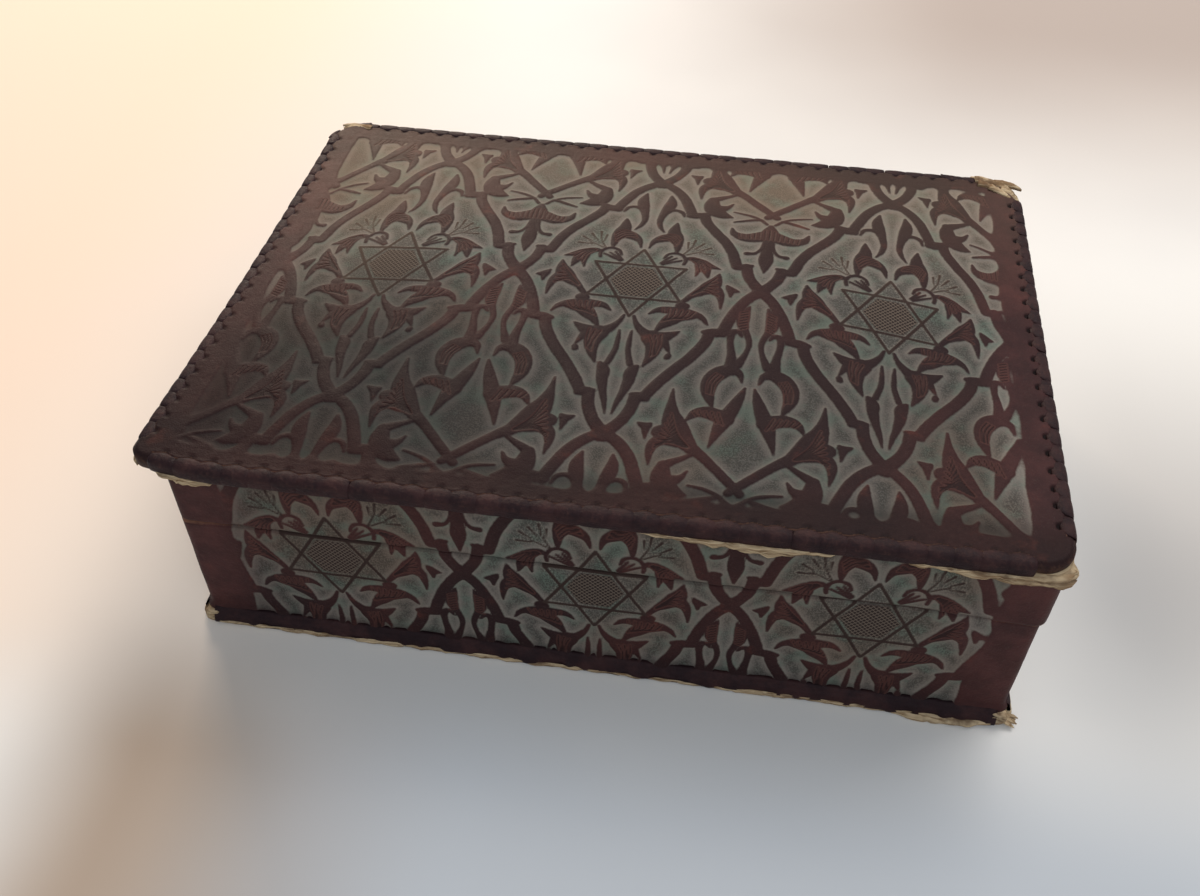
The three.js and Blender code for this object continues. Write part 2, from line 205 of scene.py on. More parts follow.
def cross_hatch(paint, hatch_far):
    """The hexagon in a star's middle, and the net of crossing ridges inside it."""
    inside = paint.step(hatch_far, -0.4, 0.5, 1, 0)
    split = paint.add("ShaderNodeSeparateXYZ", {0: paint.vector("die")})
    across, up = split.outputs[0], split.outputs[1]
    ridges = []
    for turn in (1, -1):
        slant = paint.times(paint.plus(across, paint.times(up, turn)), HATCH_LINES)
        share = paint.math("FRACT", slant)
        ridge = paint.math("ABSOLUTE", paint.math("SUBTRACT", share, 0.5))
        ridges.append(paint.step(ridge, 0.05, 0.2, 1, 0))
    return inside, paint.times(paint.math("MAXIMUM", *ridges), inside)


def embossed_leather():
    """Raised ornament in oxblood over a stippled grey green ground, from the distances that the
    mesh carries: how far each point lies outside the raised strokes, the tooled lines, the thin
    lines of the stars and the cross hatched hexagons."""
    paint = Paint("embossed_leather", specular=0.07)
    raised_far, line_far, star_far, hatch_far = map(
        paint.attribute, ("raised_far", "line_far", "star_far", "hatch_far"))
    wear, fade, hole, painted_shade, painted_sheen, flush = map(
        paint.attribute, ("wear", "fade", "hole", "painted_shade", "painted_sheen", "flush"))

    broad = paint.noise(0.018, 3)
    blotch = paint.noise(0.09, 4, roughness=0.6)
    fine = paint.noise(0.7, 3, roughness=0.65)
    grain = paint.noise(2.1, 2, stretch=(1, 0.9, 0.7), roughness=0.55)
    ragged = paint.around_zero(fine, 0.5)
    edge = paint.plus(raised_far, ragged)

    raised = paint.step(edge, -0.3, 0.3, 1, 0)
    star = paint.step(star_far, -0.2, 0.32, 1, 0)
    lines = paint.times(paint.step(line_far, -0.12, 0.22, 1, 0), raised)
    halo = paint.plus(edge, paint.around_zero(blotch, 1.8))
    pale = paint.math("MAXIMUM", paint.step(halo, 0.0, 1.3, 0.6, 0), paint.step(star_far, 0.2, 1.0, 0.6, 0))

    dots = paint.step(grain, 0.42, 0.6, 1, 0)
    stipple = paint.times(dots, paint.step(halo, 0.5, 3.2, 0.2, 1))
    ground = paint.mix(paint.step(halo, 1.0, 3.2, 0, 0.6), GROUND, GROUND_OPEN)
    ground = paint.mix(pale, ground, GROUND_PALE)
    ground = paint.coat(ground, GROUND_BROWN, broad, 0.44, 0.68, 0.6)
    ground = paint.mix(paint.step(blotch, 0.32, 0.56, 0.65, 0), ground, GROUND_GREEN)
    ground = paint.mix(paint.times(stipple, 0.62), ground, GROUND_DARK)
    # Painted shade darkens the ground where the mesh marks it.
    ground = paint.mix(paint.times(painted_shade, 0.45), ground, GROUND_SHADED)

    inside, hatch = cross_hatch(paint, hatch_far)
    ground = paint.mix(paint.times(inside, 0.94), ground, HATCH_FIELD)
    ground = paint.mix(paint.times(hatch, 0.85), ground, HATCH_RIDGE)

    red = paint.mix(paint.step(broad, 0.38, 0.66), OXBLOOD_DARK, OXBLOOD)
    red = paint.coat(red, OXBLOOD_RUBBED, blotch, 0.58, 0.8, 0.7)
    red = paint.coat(red, OXBLOOD_DARK, fine, 0.35, 0.7, 0.35)
    red = paint.coat(red, GROUND_PALE, grain, 0.55, 0.75, 0.06)
    flushed = paint.times(flush, paint.step(blotch, 0.35, 0.65, 0.2, 0.6))
    red = paint.mix(flushed, red, FLUSHED)
    rib = paint.step(line_far, 0.15, 0.7, 1, 0)
    red = paint.mix(paint.times(rib, 0.3), red, RIB_LIGHT)
    red = paint.mix(paint.times(lines, 0.85), red, TOOLED_DARK)
    # Fading turns the ground to the red: worn pattern, and painted shade on the lid's front left and the
    # front face.
    ground = paint.mix(paint.times(fade, 0.75), ground, red)
    top = paint.mix(raised, ground, red)
    top = paint.mix(paint.times(star, 0.95), top, STAR_DARK)
    scuff = paint.step(paint.plus(wear, paint.times(fine, 0.5)), 0.65, 1.0)
    top = paint.mix(paint.times(scuff, 0.75), top, SCUFFED)
    # Painted sheen: a paler warm film, strongest on the ground, where the mesh marks it.
    sheen_share = paint.times(painted_sheen, paint.step(raised, 0, 1, 0.36, 0.12))
    top = paint.mix(sheen_share, top, SHEEN_TONE)
    # Painted shade darkens everything where the mesh marks it.
    top = paint.mix(paint.times(painted_shade, 0.56), top, SHADE_DARK)
    # Painted shade inside the lacing holes.
    top = paint.mix(paint.times(hole, 0.92), top, HOLE_SHADE)

    rough = paint.step(raised, 0, 1, 0.74, 0.56)
    rough = paint.plus(rough, paint.around_zero(fine, 0.25))
    pores = paint.cells(1.6)
    height = paint.plus(paint.times(pores, 0.25), fine)
    for mask, rise in ((stipple, -0.7), (hatch, 0.9), (lines, -0.8)):
        height = paint.plus(height, paint.times(mask, rise))
    return paint.done(top, rough, height, 0.2, 0.7)


def thong_leather():
    """Dark worn thong and binding, paler on its crests: rubbed there, and with a painted highlight."""
    paint = Paint("thong_leather", specular=0.1)
    crest = paint.attribute("crest")
    blotch = paint.noise(0.12, 4, roughness=0.6)
    fine = paint.noise(0.9, 4, roughness=0.7)
    streak = paint.noise(0.5, 3, stretch=(1, 1, 2.4))
    color = paint.mix(paint.step(blotch, 0.35, 0.7), tone(35, 22, 25), tone(55, 34, 34))
    # Painted highlight, with rubbed wear: paler on the outer faces of stitches and binding.
    rub_and_highlight = paint.step(paint.plus(crest, paint.times(fine, 0.6)), 0.95, 1.4)
    color = paint.mix(paint.times(rub_and_highlight, 0.45), color, tone(108, 76, 68))
    color = paint.coat(color, tone(30, 20, 22), streak, 0.55, 0.8, 0.5)
    height = paint.plus(fine, paint.times(streak, 0.7))
    return paint.done(color, paint.step(fine, 0.2, 0.8, 0.42, 0.68),
                      height, 0.3, 0.8)


def layered_board():
    """Raw straw coloured board, in thin fibrous layers that show at its edges."""
    paint = Paint("layered_board", specular=0.2)
    layers = paint.noise(1.1, 3, stretch=(0.08, 0.08, 2.4), roughness=0.6)
    fibre = paint.noise(0.8, 4, stretch=(0.35, 0.35, 3.0), roughness=0.7, warp=0.4)
    stain = paint.noise(0.06, 3)
    grime = paint.noise(0.28, 3, stretch=(0.6, 0.6, 2.6), roughness=0.6)
    color = paint.mix(paint.step(layers, 0.35, 0.62), BUFF_DARK, BUFF)
    color = paint.coat(color, tone(220, 202, 166), fibre, 0.5, 0.75, 0.6)
    color = paint.coat(color, tone(112, 82, 54), stain, 0.5, 0.72, 0.6)
    color = paint.coat(color, tone(84, 62, 46), grime, 0.46, 0.7, 0.75)
    return paint.done(color, paint.step(fibre, 0.2, 0.8, 0.8, 0.95),
                      paint.plus(layers, fibre), 0.35, 0.9)


def carcass_wood():
    """Waxed softwood, with growth rings, pores and dirt."""
    paint = Paint("carcass_wood", specular=0.35)
    rings = paint.noise(0.35, 3, stretch=(0.12, 0.12, 1.6), warp=0.5)
    pores = paint.noise(2.2, 2, stretch=(0.1, 0.1, 1))
    dirt = paint.noise(0.05, 3)
    color = paint.mix(paint.step(rings, 0.35, 0.65), tone(146, 108, 68), tone(182, 144, 98))
    color = paint.coat(color, tone(96, 66, 40), pores, 0.55, 0.75, 0.45)
    color = paint.coat(color, tone(88, 60, 40), dirt, 0.45, 0.75, 0.5)
    return paint.done(color, paint.step(pores, 0.3, 0.7, 0.5, 0.72),
                      paint.plus(rings, pores), 0.12, 0.6)


def lining_cloth():
    """Aged ribbed cloth glued on card."""
    paint = Paint("lining_cloth", specular=0.2)
    paint.shader.inputs["Sheen Weight"].default_value = 0.25
    warp = paint.noise(3.0, 2, stretch=(2.2, 2.2, 0.3))
    weft = paint.noise(3.0, 2, stretch=(0.3, 0.3, 2.2))
    stain = paint.noise(0.03, 4, roughness=0.6)
    spots = paint.noise(0.25, 3)
    color = paint.mix(paint.step(stain, 0.35, 0.7), tone(148, 126, 82), tone(118, 94, 60))
    color = paint.coat(color, tone(86, 68, 44), warp, 0.45, 0.7, 0.5)
    color = paint.coat(color, tone(78, 58, 40), spots, 0.6, 0.8, 0.5)
    return paint.done(color, paint.step(spots, 0.2, 0.8, 0.82, 0.95),
                      paint.plus(warp, weft), 0.18, 0.9)


def cover_paper():
    """Dark grained paper, rubbed in places."""
    paint = Paint("cover_paper", specular=0.3)
    grain = paint.noise(0.9, 4, roughness=0.7)
    rubs = paint.noise(0.06, 4)
    color = paint.mix(paint.step(rubs, 0.4, 0.7), tone(60, 42, 36), tone(88, 64, 52))
    color = paint.coat(color, tone(130, 104, 80), grain, 0.6, 0.8, 0.5)
    return paint.done(color, paint.step(grain, 0.2, 0.8, 0.7, 0.9),
                      grain, 0.15, 0.7)


def cotton_wadding():
    """Loose cotton."""
    paint = Paint("wadding", specular=0.1)
    tufts = paint.noise(0.3, 5, roughness=0.7)
    color = paint.mix(tufts, tone(196, 184, 156), tone(232, 224, 204))
    return paint.done(color, 0.95,
                      tufts, 0.6, 0.8)


def hinge_brass():
    """Dull brass with a brown patina."""
    paint = Paint("hinge_brass")
    paint.shader.inputs["Metallic"].default_value = 1.0
    patina = paint.noise(0.35, 4, roughness=0.65)
    specks = paint.noise(2.4, 2)
    color = paint.mix(paint.step(patina, 0.35, 0.7), tone(176, 138, 70), tone(108, 80, 44))
    color = paint.coat(color, tone(66, 52, 34), specks, 0.6, 0.75, 0.6)
    return paint.done(color, paint.step(patina, 0.2, 0.8, 0.3, 0.6),
                      specks, 0.05, 0.5)


# The ornament, drawn as tapering strokes in millimetres on one repeat of the embossing plate.
# A point is (distance across, height, half width). STAR strokes start from the star's axis and
# ARABESQUE strokes from the axis between two stars. Both are mirrored about their own axis.

HALF_PITCH = 39.6
PERIOD = 127.0
ARABESQUE_LIFT = 2.5
STAR_TIP = 17.4
STAR_LINE = 0.5
TOOL_LINE = 0.2
HATCH_REACH = 7.4
HATCH_LINES = 0.64
PLATE_LOW = -96
PLATE_HIGH = 80
PLATE_CELL = 0.2

STRAPS = [
    [(-.6, 61.4, 1.75), (4.6, 57.4, 1.75), (8.4, 52.4, 1.75), (11, 46.4, 1.75), (12.9, 41.2, 1.7)],
    [(12.4, 40.2, 1.3), (15.2, 40.8, 1.8), (18.4, 41.8, .8)],
    [(17, 41.2, 1.75), (18.4, 37, 1.75), (21.8, 31.6, 1.75), (25.8, 26, 1.75),
     (28.6, 20.4, 1.75), (30.1, 15.4, 1.75), (30.9, 12.6, 1.7)],
    [(30.6, 12.2, 1.1), (33, 12.6, 1.6), (35.6, 14.0, .6)],
    [(34, 13.0, 1.75), (35, 8, 1.75), (37.2, 3.8, 1.8), (40, -.1, 2.1)],
    [(40, .9, 2.1), (36, -3.8, 1.75), (33.2, -9.2, 1.75), (31, -15, 1.75), (29.4, -20.8, 1.75)],
    [(29.8, -21.4, 1.2), (27, -21.2, 1.7), (23.8, -21.4, .8)],
    [(25.6, -21.6, 1.75), (24.4, -26.4, 1.75), (20.8, -33.2, 1.75), (15.8, -40.2, 1.75),
     (11.9, -46.4, 1.75), (9.6, -50.8, 1.7)],
    [(10, -52.0, 1.0), (8, -51.2, 1.6), (5.6, -50.6, .7)],
    [(6.8, -51.6, 1.75), (6.2, -56, 1.75), (4, -61.5, 1.75), (-.6, -67.6, 2.1)],
]
STAR_LEAVES = [
    # pair of slender upright leaves with side hooks
    [(4.3, 52.5, .3), (4.9, 48, 1.7), (4.4, 44, 2.0), (3.2, 39.5, 1.3), (2.6, 35, .95),
     (3.4, 31.3, .7), (5.0, 28.5, .2)],
    [(4.4, 41.6, .7), (7, 43, .7), (9.3, 42, .7), (10.4, 39.3, .3)],
    # lobed leaves over the shoulders
    [(8.7, 34.9, .2), (8.5, 32, 1.3), (8.4, 29.3, 2.0), (9.2, 25.8, 2.6), (10.4, 22.5, 1.6),
     (10.7, 19, .85), (10.6, 16.8, .2)],
    [(9.2, 26.2, 2.2), (5.3, 24.8, 2.0), (2.5, 22.4, 1.05), (1.4, 18.6, .2)],
    # hook curls
    [(6.3, 10.6, .34), (7.8, 12.6, .38), (9.4, 14.8, .32)],
    [(6.6, 10.2, .3), (9, 12.3, .34), (11.2, 14.2, .28)],
    [(7.0, 9.9, .34), (10, 11.6, .38), (12.9, 13.1, .32)],
    [(7.1, 13.4, .35), (8.2, 15.8, .48), (10.6, 16.8, .5), (12.9, 15.9, .52), (14.2, 13.4, .5),
     (13.9, 11.2, .5)],
    # ribbed fan with three points beside each small fan of lines
    [(13.8, 14.4, .5), (16.5, 14.5, 1.2), (19.6, 12.7, 1.9), (22.6, 11.4, 1.2), (25.8, 10.2, .2)],
    [(19.8, 12, 1.9), (21.3, 9, 1.5), (22.4, 5, .25)],
    [(18.8, 11.4, 1.4), (18.9, 8.6, .9), (18.4, 5.2, .2)],
    # ribbed crescent at each side, and the small leaf beyond it
    [(16.1, -8, .8), (18.3, -5.0, 1.1), (21.1, -2.4, 2.0), (23.7, .4, 2.8), (25.2, 3.6, 1.8),
     (25.9, 7.6, .2)],
    [(24.6, -.6, 2.6), (26.8, -3.0, 1.5), (27.6, -6.6, .8), (27.8, -10.2, .2)],
    [(28.9, 1.8, .4), (30.4, -.2, 1.3), (32.9, -.7, .2)],
    [(30.3, -.4, 1.3), (30.4, -3.6, .25)],
    [(15.3, -10.5, 1.5), (16.7, -10.4, 1.5)],
    # drooping ribbed fans
    [(24.5, -18.2, .25), (22.5, -15.2, 1.0), (18.4, -13.5, 1.6), (12.7, -13.1, 1.7),
     (8.8, -13.4, 1.1), (6, -15.6, .2)],
    [(16.4, -14.4, 2.3), (13.3, -17.2, 2.4), (10.6, -20.4, 1.3), (8.7, -23.8, .2)],
    [(20.5, -14.6, 1.2), (16, -16, 1.6)],
    # broad leaves spreading from the foot of the star
    [(1.5, -17.2, .4), (2.8, -20.6, .8), (5.2, -23.8, 1.5), (8.4, -25.8, 2.3), (11.8, -25.4, 2.1),
     (14.2, -24, 1.2), (16.4, -22.3, .2)],
    [(8, -26, 3.0), (9.4, -29.5, 2.6), (9.0, -34, 1.6), (7.2, -38.8, .25)],
    [(11.5, -26, 1.8), (13.0, -29, 1.0), (14.4, -32, .2)],
    [(14.2, -33.2, .9), (14.0, -34, .9)],
    # pale drop between two fine stems, and the pair of flames below
    [(1.9, -24, .25), (1.8, -28.6, .65), (2.0, -33, .75), (3.4, -38.6, .9)],
    [(5.6, -39, .6), (4.2, -41.6, 1.8), (3.9, -45.5, 1.6), (3.0, -50, 1.1), (1.8, -54.5, .7),
     (1.0, -58.8, .2)],
]
# A small fan of short lines beside each shoulder leaf of the star
FAN_LINES = [
    [(12.8, 16.4, .3), (14.4, 19.4, .26), (15.6, 22, .2)],
    [(14.0, 20.6, .2), (13.8, 24.2, .4)],
    [(15.4, 21.6, .2), (16.0, 25.8, .42)],
    [(16.4, 20.6, .2), (19.0, 24.2, .42)],
    [(13.9, 16.6, .3), (16.6, 18.2, .26), (18.8, 19.2, .2)],
    [(18.4, 19.8, .2), (21.6, 22.0, .42)],
    [(18.2, 18.2, .2), (22.6, 18.4, .4)],
]
ARABESQUE = [
    # pair of leaves on curling stems under the upper crossing
    [(2.8, -7.5, .25), (4.1, -12, 1.6), (4.4, -15.6, 1.8), (3.4, -19, 1.0)],
    [(3.4, -18.6, 1.0), (1.9, -23.5, .8), (2.3, -28, .7), (4.4, -34.2, 1.3)],
    [(4.2, -21.6, .3), (5.6, -19.6, .8), (7.4, -20.6, 1.1), (7.4, -25, .9), (6.7, -30, 1.2),
     (6.4, -35, 1.8)],
    # crescents
    [(2.5, -41.4, .25), (3.6, -37.8, 1.1), (6.4, -36.8, 2.0), (9.4, -38.4, 2.6), (11.6, -42, 2.5),
     (12.0, -46.5, 2.0), (11.0, -50.5, 1.1), (10, -53.2, .2)],
    # horned leaves
    [(1.4, -43.5, .25), (2.6, -48, 1.3), (4.2, -53, 2.0), (6.2, -58.5, 2.3), (7.8, -64, 1.3),
     (9.2, -69.6, .2)],
    [(5.8, -57.6, 2.6), (8.6, -56.2, 2.5), (11.8, -55.4, 2.2), (14.8, -56.4, 1.4),
     (16.9, -59.6, .2)],
    # trumpets on crossing stems
    [(-1.6, -86, 1.2), (2.6, -81.6, 1.35), (6.6, -77.4, 1.4), (10.4, -73.4, 1.5),
     (13.8, -70.6, 2.0)],
    [(14.3, -70.0, 2.0), (17.2, -66.6, 3.2), (19.6, -62.4, 3.6), (21.2, -57.8, 2.4),
     (21.9, -52.5, 1.1), (22.1, -47, .2)],
    [(17, -67.6, 2.6), (21, -65.2, 3.4), (23.6, -64.4, 2.4)],
    [(18, -68.6, 1.7), (22, -67.4, 2.2), (24.6, -69.2, 1.8), (25.4, -72.6, 1.1),
     (25.0, -77.4, .2)],
    [(26.8, -61.6, .5), (28, -62.6, 1.3), (30.4, -61.4, .3)],
    [(28, -62.8, 1.3), (27.6, -67.4, .2)],
    # round leaf below each trumpet
    [(12.4, -72.2, .5), (15.8, -74.5, .85), (19.4, -76.6, 1.4)],
    [(20.8, -77.4, 1.7), (20.8, -81.4, 2.7), (19.4, -84.8, 3.0), (16.4, -87, 1.9), (13.2, -88, .3)],
    [(18.2, -83.4, 2.2), (15.4, -81.8, 1.0), (13.8, -79.2, .25)],
    # fine tendrils
    [(12.9, -84.4, .3), (8, -85.6, .5), (4, -87.6, .5), (1.4, -90.4, .5)],
    [(12.2, -90.6, .4), (7.2, -88.8, .6), (3.4, -87.8, .4)],
    # ribbed fan with its two curls and hanging bud
    [(12.6, -94.6, .25), (11.4, -98, 1.3), (7.5, -99.6, 2.2), (3.6, -98.6, 2.7), (0, -96.4, 2.8),
     (0, -91.5, .8)],
    [(1.4, -101.5, .5), (2.0, -105.4, .5), (3.8, -108.2, .55), (6.4, -108.8, .9)],
    [(0, -100, 1.5), (0, -105, 1.5), (0, -111, 2.3), (0, -114.5, 1.6), (0, -118.8, .2)],
]


def ribs(count, start, start_step, bend, bend_step, end, end_step):
    """Tooled lines side by side. Each step says how far the next line's point has moved."""
    def moved(point, step, index):
        return (point[0] + step[0] * index, point[1] + step[1] * index)
    return [
        [moved(start, start_step, index), moved(bend, bend_step, index), moved(end, end_step, index)]
        for index in range(count)
    ]


STAR_LINES = []
STAR_LINES += ribs(4, (3.6, 23.8), (.4, .95), (7, 24.3), (.6, .95), (10, 20.8), (.35, 1.3))
STAR_LINES += ribs(4, (15.8, 14.2), (.3, .2), (18.4, 11.8), (.7, .6), (19.4, 7.4), (1.5, 1.3))
STAR_LINES += ribs(5, (18.2, -4.9), (0, .1), (22.2, -2.2), (.2, 1.0), (26.4, -4.2), (-.3, 2.3))
STAR_LINES += ribs(6, (10.2, -18.8), (.7, .35), (10.6, -16), (1.5, 0), (10.2, -12.4), (2.0, -.1))
STAR_LINES += ribs(3, (9, -34.5), (.7, .6), (9, -30), (1.1, .5), (7.6, -25.6), (1.7, .4))
ARABESQUE_LINES = []
ARABESQUE_LINES += ribs(7, (14.8, -70.4), (.1, 0), (18.8, -64.8), (.3, -.65), (21.4, -57.2), (.5, -2.1))
ARABESQUE_LINES += ribs(2, (16.6, -69.6), (0, 0), (20.6, -67.4), (0, 0), (24.4, -71), (.1, -2.2))
ARABESQUE_LINES += ribs(7, (0, -94.2), (1.6, -.25), (0, -97), (1.6, -.2), (0, -99.8), (1.55, -.1))
ARABESQUE_LINES += ribs(5, (6.2, -60.4), (1.9, .7), (7.2, -58), (1.9, .4), (8, -55.4), (1.9, .1))
ARABESQUE_LINES += ribs(7, (3.0, -10), (0, -1.25), (4.2, -10.6), (0, -1.25), (5.4, -11.2), (0, -1.25))
ARABESQUE_LINES += ribs(3, (8.4, -40), (1, .5), (10.2, -43.4), (1, .3), (10.6, -48), (.8, .2))


def smooth_stroke(points, steps=6):
    """Points along a smooth curve through the given ones, with the half width carried along."""
    given = np.array(points, float)
    if len(given) < 3:
        share = np.linspace(0, 1, steps + 1)[:, None]
        return given[0] * (1 - share) + given[1] * share
    padded = np.vstack([2 * given[0] - given[1], given, 2 * given[-1] - given[-2]])
    curve = []
    for index in range(len(given) - 1):
        before, start, end, after = padded[index:index + 4]
        for t in np.linspace(0, 1, steps, endpoint=False):
            curve.append(0.5 * (
                2 * start + (end - before) * t + (2 * before - 5 * start + 4 * end - after) * t ** 2
                + (3 * start - before - 3 * end + after) * t ** 3
            ))
    curve.append(given[-1])
    curve = np.array(curve)
    curve[:, 2:] = np.maximum(curve[:, 2:], 0.05)
    return curve


class Plate:
    """How far each cell of a grid lies outside the nearest stroke, in millimetres."""

    def __init__(self, far):
        self.low = np.array((0.0, PLATE_LOW))
        self.far = far
        columns = round(HALF_PITCH / PLATE_CELL) + 1
        rows = round((PLATE_HIGH - PLATE_LOW) / PLATE_CELL) + 1
        self.size = np.array((columns, rows))
        self.distance = np.full((rows, columns), far)

    def draw(self, stroke):
        for start, end in zip(stroke[:-1], stroke[1:]):
            low = np.minimum(start[:2], end[:2]) - self.far
            high = np.maximum(start[:2], end[:2]) + self.far
            first = np.clip(np.floor((low - self.low) / PLATE_CELL).astype(int), 0, self.size)
            last = np.clip(np.ceil((high - self.low) / PLATE_CELL).astype(int) + 1, 0, self.size)
            if (last <= first).any():
                continue
            x = self.low[0] + np.arange(first[0], last[0]) * PLATE_CELL
            y = (self.low[1] + np.arange(first[1], last[1]) * PLATE_CELL)[:, None]
            run = end - start
            length = run[0] ** 2 + run[1] ** 2 + 1e-9
            t = np.clip(((x - start[0]) * run[0] + (y - start[1]) * run[1]) / length, 0, 1)
            away = np.hypot(x - start[0] - t * run[0], y - start[1] - t * run[1])
            view = self.distance[first[1]:last[1], first[0]:last[0]]
            np.minimum(view, away - start[2] - t * run[2], out=view)

    def read(self, x, y):
        column = np.clip((x - self.low[0]) / PLATE_CELL, 0, self.size[0] - 1.001)
        row = np.clip((y - self.low[1]) / PLATE_CELL, 0, self.size[1] - 1.001)
        i, j = column.astype(int), row.astype(int)
        s, t = column - i, row - j
        d = self.distance
        lower = d[j, i] * (1 - s) + d[j, i + 1] * s
        upper = d[j + 1, i] * (1 - s) + d[j + 1, i + 1] * s
        return lower * (1 - t) + upper * t


def drawn_plates():
    """The raised strokes, the tooled lines on them, and the star's thin lines."""
    raised, lines, star = Plate(6.0), Plate(1.5), Plate(2.5)
    star_mirrors = (lambda u: u, lambda u: -u, lambda u: 2 * HALF_PITCH - u)
    arabesque_mirrors = (lambda w: HALF_PITCH - w, lambda w: HALF_PITCH + w)

    def draw(plate, strokes, mirrors, shift, width=None):
        extra = () if width is None else (width,)
        for points in strokes:
            curve = smooth_stroke([tuple(point) + extra for point in points])
            for mirror in mirrors:
                moved = curve.copy()
                moved[:, 0] = mirror(curve[:, 0])
                moved[:, 1] += shift
                plate.draw(moved)

    for repeat in (-1, 0, 1):
        shift = repeat * PERIOD
        draw(raised, STRAPS + STAR_LEAVES, star_mirrors, shift)
        draw(lines, STAR_LINES, star_mirrors, shift, TOOL_LINE)
        shift = repeat * (PERIOD + ARABESQUE_LIFT)
        draw(raised, ARABESQUE, arabesque_mirrors, shift)
        draw(lines, ARABESQUE_LINES, arabesque_mirrors, shift, TOOL_LINE)
    corners = [
        (STAR_TIP * math.sin(math.radians(60 * k)), STAR_TIP * math.cos(math.radians(60 * k)))
        for k in range(6)
    ]
    draw(star, FAN_LINES, star_mirrors, 0)
    for first in (0, 1):
        triangle = corners[first::2]
        for start, end in zip(triangle, triangle[1:] + triangle[:1]):
            star.draw(np.array([start + (STAR_LINE,), end + (STAR_LINE,)]))
    return raised, lines, star


raised_plate, line_plate, star_plate = drawn_plates()


def value_noise(x, y, size, seed=SEED):
    """Smooth noise from -1 to 1 whose lumps are about `size` millimetres across."""
    side = 64
    table = np.random.default_rng(seed).uniform(-1, 1, (side, side))
    gx, gy = np.asarray(x, float) / size, np.asarray(y, float) / size
    i, j = np.floor(gx).astype(int), np.floor(gy).astype(int)
    s, t = gx - i, gy - j
    s, t = s * s * (3 - 2 * s), t * t * (3 - 2 * t)
    lower = table[j % side, i % side] * (1 - s) + table[j % side, (i + 1) % side] * s
    upper = table[(j + 1) % side, i % side] * (1 - s) + table[(j + 1) % side, (i + 1) % side] * s
    return lower * (1 - t) + upper * t


def edge_noise(along, row, size, seed):
    """value_noise along one row of its table, for values along an edge."""
    return value_noise(along, along * 0 + row, size, seed)


def ease(low, high, value):
    """0 where the value is at low, 1 where it is at high, and smooth between. low may be the larger."""
    share = np.clip((value - low) / (high - low), 0, 1)
    return share * share * (3 - 2 * share)


RELIEF = 0.44
RELIEF_SLOPE = 0.6
GROUND_DEPTH = 0.3
BORDER_ROUNDING = 3.0
STROKE_SPREAD = 0.2


def rounded_min(first, second, rounding):
    """The smaller of two distances, with the corner where they cross rounded off."""
    share = np.clip(0.5 + 0.5 * (second - first) / rounding, 0, 1)
    return second * (1 - share) + first * share - rounding * share * (1 - share)


def emboss(across, up, border):
    """Ornament at a place on the plate: the height to add, and the distances that the leather's
    material reads. border is how far inside the ornamented field the place is."""
    local = (across + HALF_PITCH) % (2 * HALF_PITCH) - HALF_PITCH
    u = np.abs(local)
    far = rounded_min(raised_plate.read(u, up) - STROKE_SPREAD, border, BORDER_ROUNDING)
    star_far = star_plate.read(u, up) + np.where(border < 0, 3, 0)
    line_far = line_plate.read(u, up) + np.where(border < 0, 3, 0)
    hexagon = np.maximum(np.abs(up), u * 0.866 + np.abs(up) * 0.5) - HATCH_REACH
    rise = RELIEF * ease(RELIEF_SLOPE, -RELIEF_SLOPE, far) + 0.06 * ease(-0.3, -2.4, far)
    height = rise - GROUND_DEPTH + 0.06 * value_noise(across, up, 3.0)
    height += 0.25 * ease(0.35, -0.35, star_far) * ease(0, 0.6, far)
    height -= 0.18 * ease(0.25, -0.15, line_far) * ease(0, -0.6, far)
    facts = {
        "raised_far": np.clip(far, -4, 4),
        "line_far": np.clip(line_far, -4, 4),
        "star_far": np.clip(star_far, -4, 4),
        "hatch_far": np.clip(hexagon + np.where(border < 0, 9, 0), -9, 9),
        "die": np.stack([local, up, np.zeros_like(up)], -1),
    }
    return height, facts


# Mesh helpers

def grid_faces(rows, columns, wrap=False, first=0):
    """Quads over a grid of points stored row by row; wrap joins the last column to the first."""
    row = np.arange(rows - 1)[:, None]
    column = np.arange(columns if wrap else columns - 1)[None, :]
    nxt = (column + 1) % columns
    a = row * columns + column
    b = row * columns + nxt
    quads = np.stack([a, b, b + columns, a + columns], -1)
    return quads.reshape(-1, 4) + first


def add_mesh(name, points, faces, material, facts=None, smooth=True):
    """A mesh object from points in millimetres. facts are values per point for its material."""
    mesh = bpy.data.meshes.new(name)
    mesh.from_pydata((np.asarray(points, float) * MM).tolist(), [], [list(map(int, f)) for f in faces])
    for key, values in (facts or {}).items():
        values = np.asarray(values, np.float32)
        if values.ndim == 2:
            mesh.attributes.new(key, "FLOAT_VECTOR", "POINT").data.foreach_set("vector", values.ravel())
        else:
            mesh.attributes.new(key, "FLOAT", "POINT").data.foreach_set("value", values)
    if smooth:
        mesh.polygons.foreach_set("use_smooth", np.ones(len(mesh.polygons), bool))
    mesh.validate()
    mesh.update()
    mesh.materials.append(material)
    piece = bpy.data.objects.new(name, mesh)
    bpy.context.scene.collection.objects.link(piece)
    return piece


def extended(facts, sources, fills):
    """Facts with values for a sheet's added points: those of its source points, or a fixed fill."""
    longer = {}
    for key, values in facts.items():
        flat = values.reshape(-1, 3) if values.ndim == 3 else values.reshape(-1)
        tail = np.full_like(flat[sources], fills[key]) if key in fills else flat[sources]
        longer[key] = np.concatenate([flat, tail])
    return longer


def finish_piece(piece, body, node):
    """Hides the node that the piece stands for, and ties the piece to the body it moves with."""
    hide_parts(node)
    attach(piece, body)


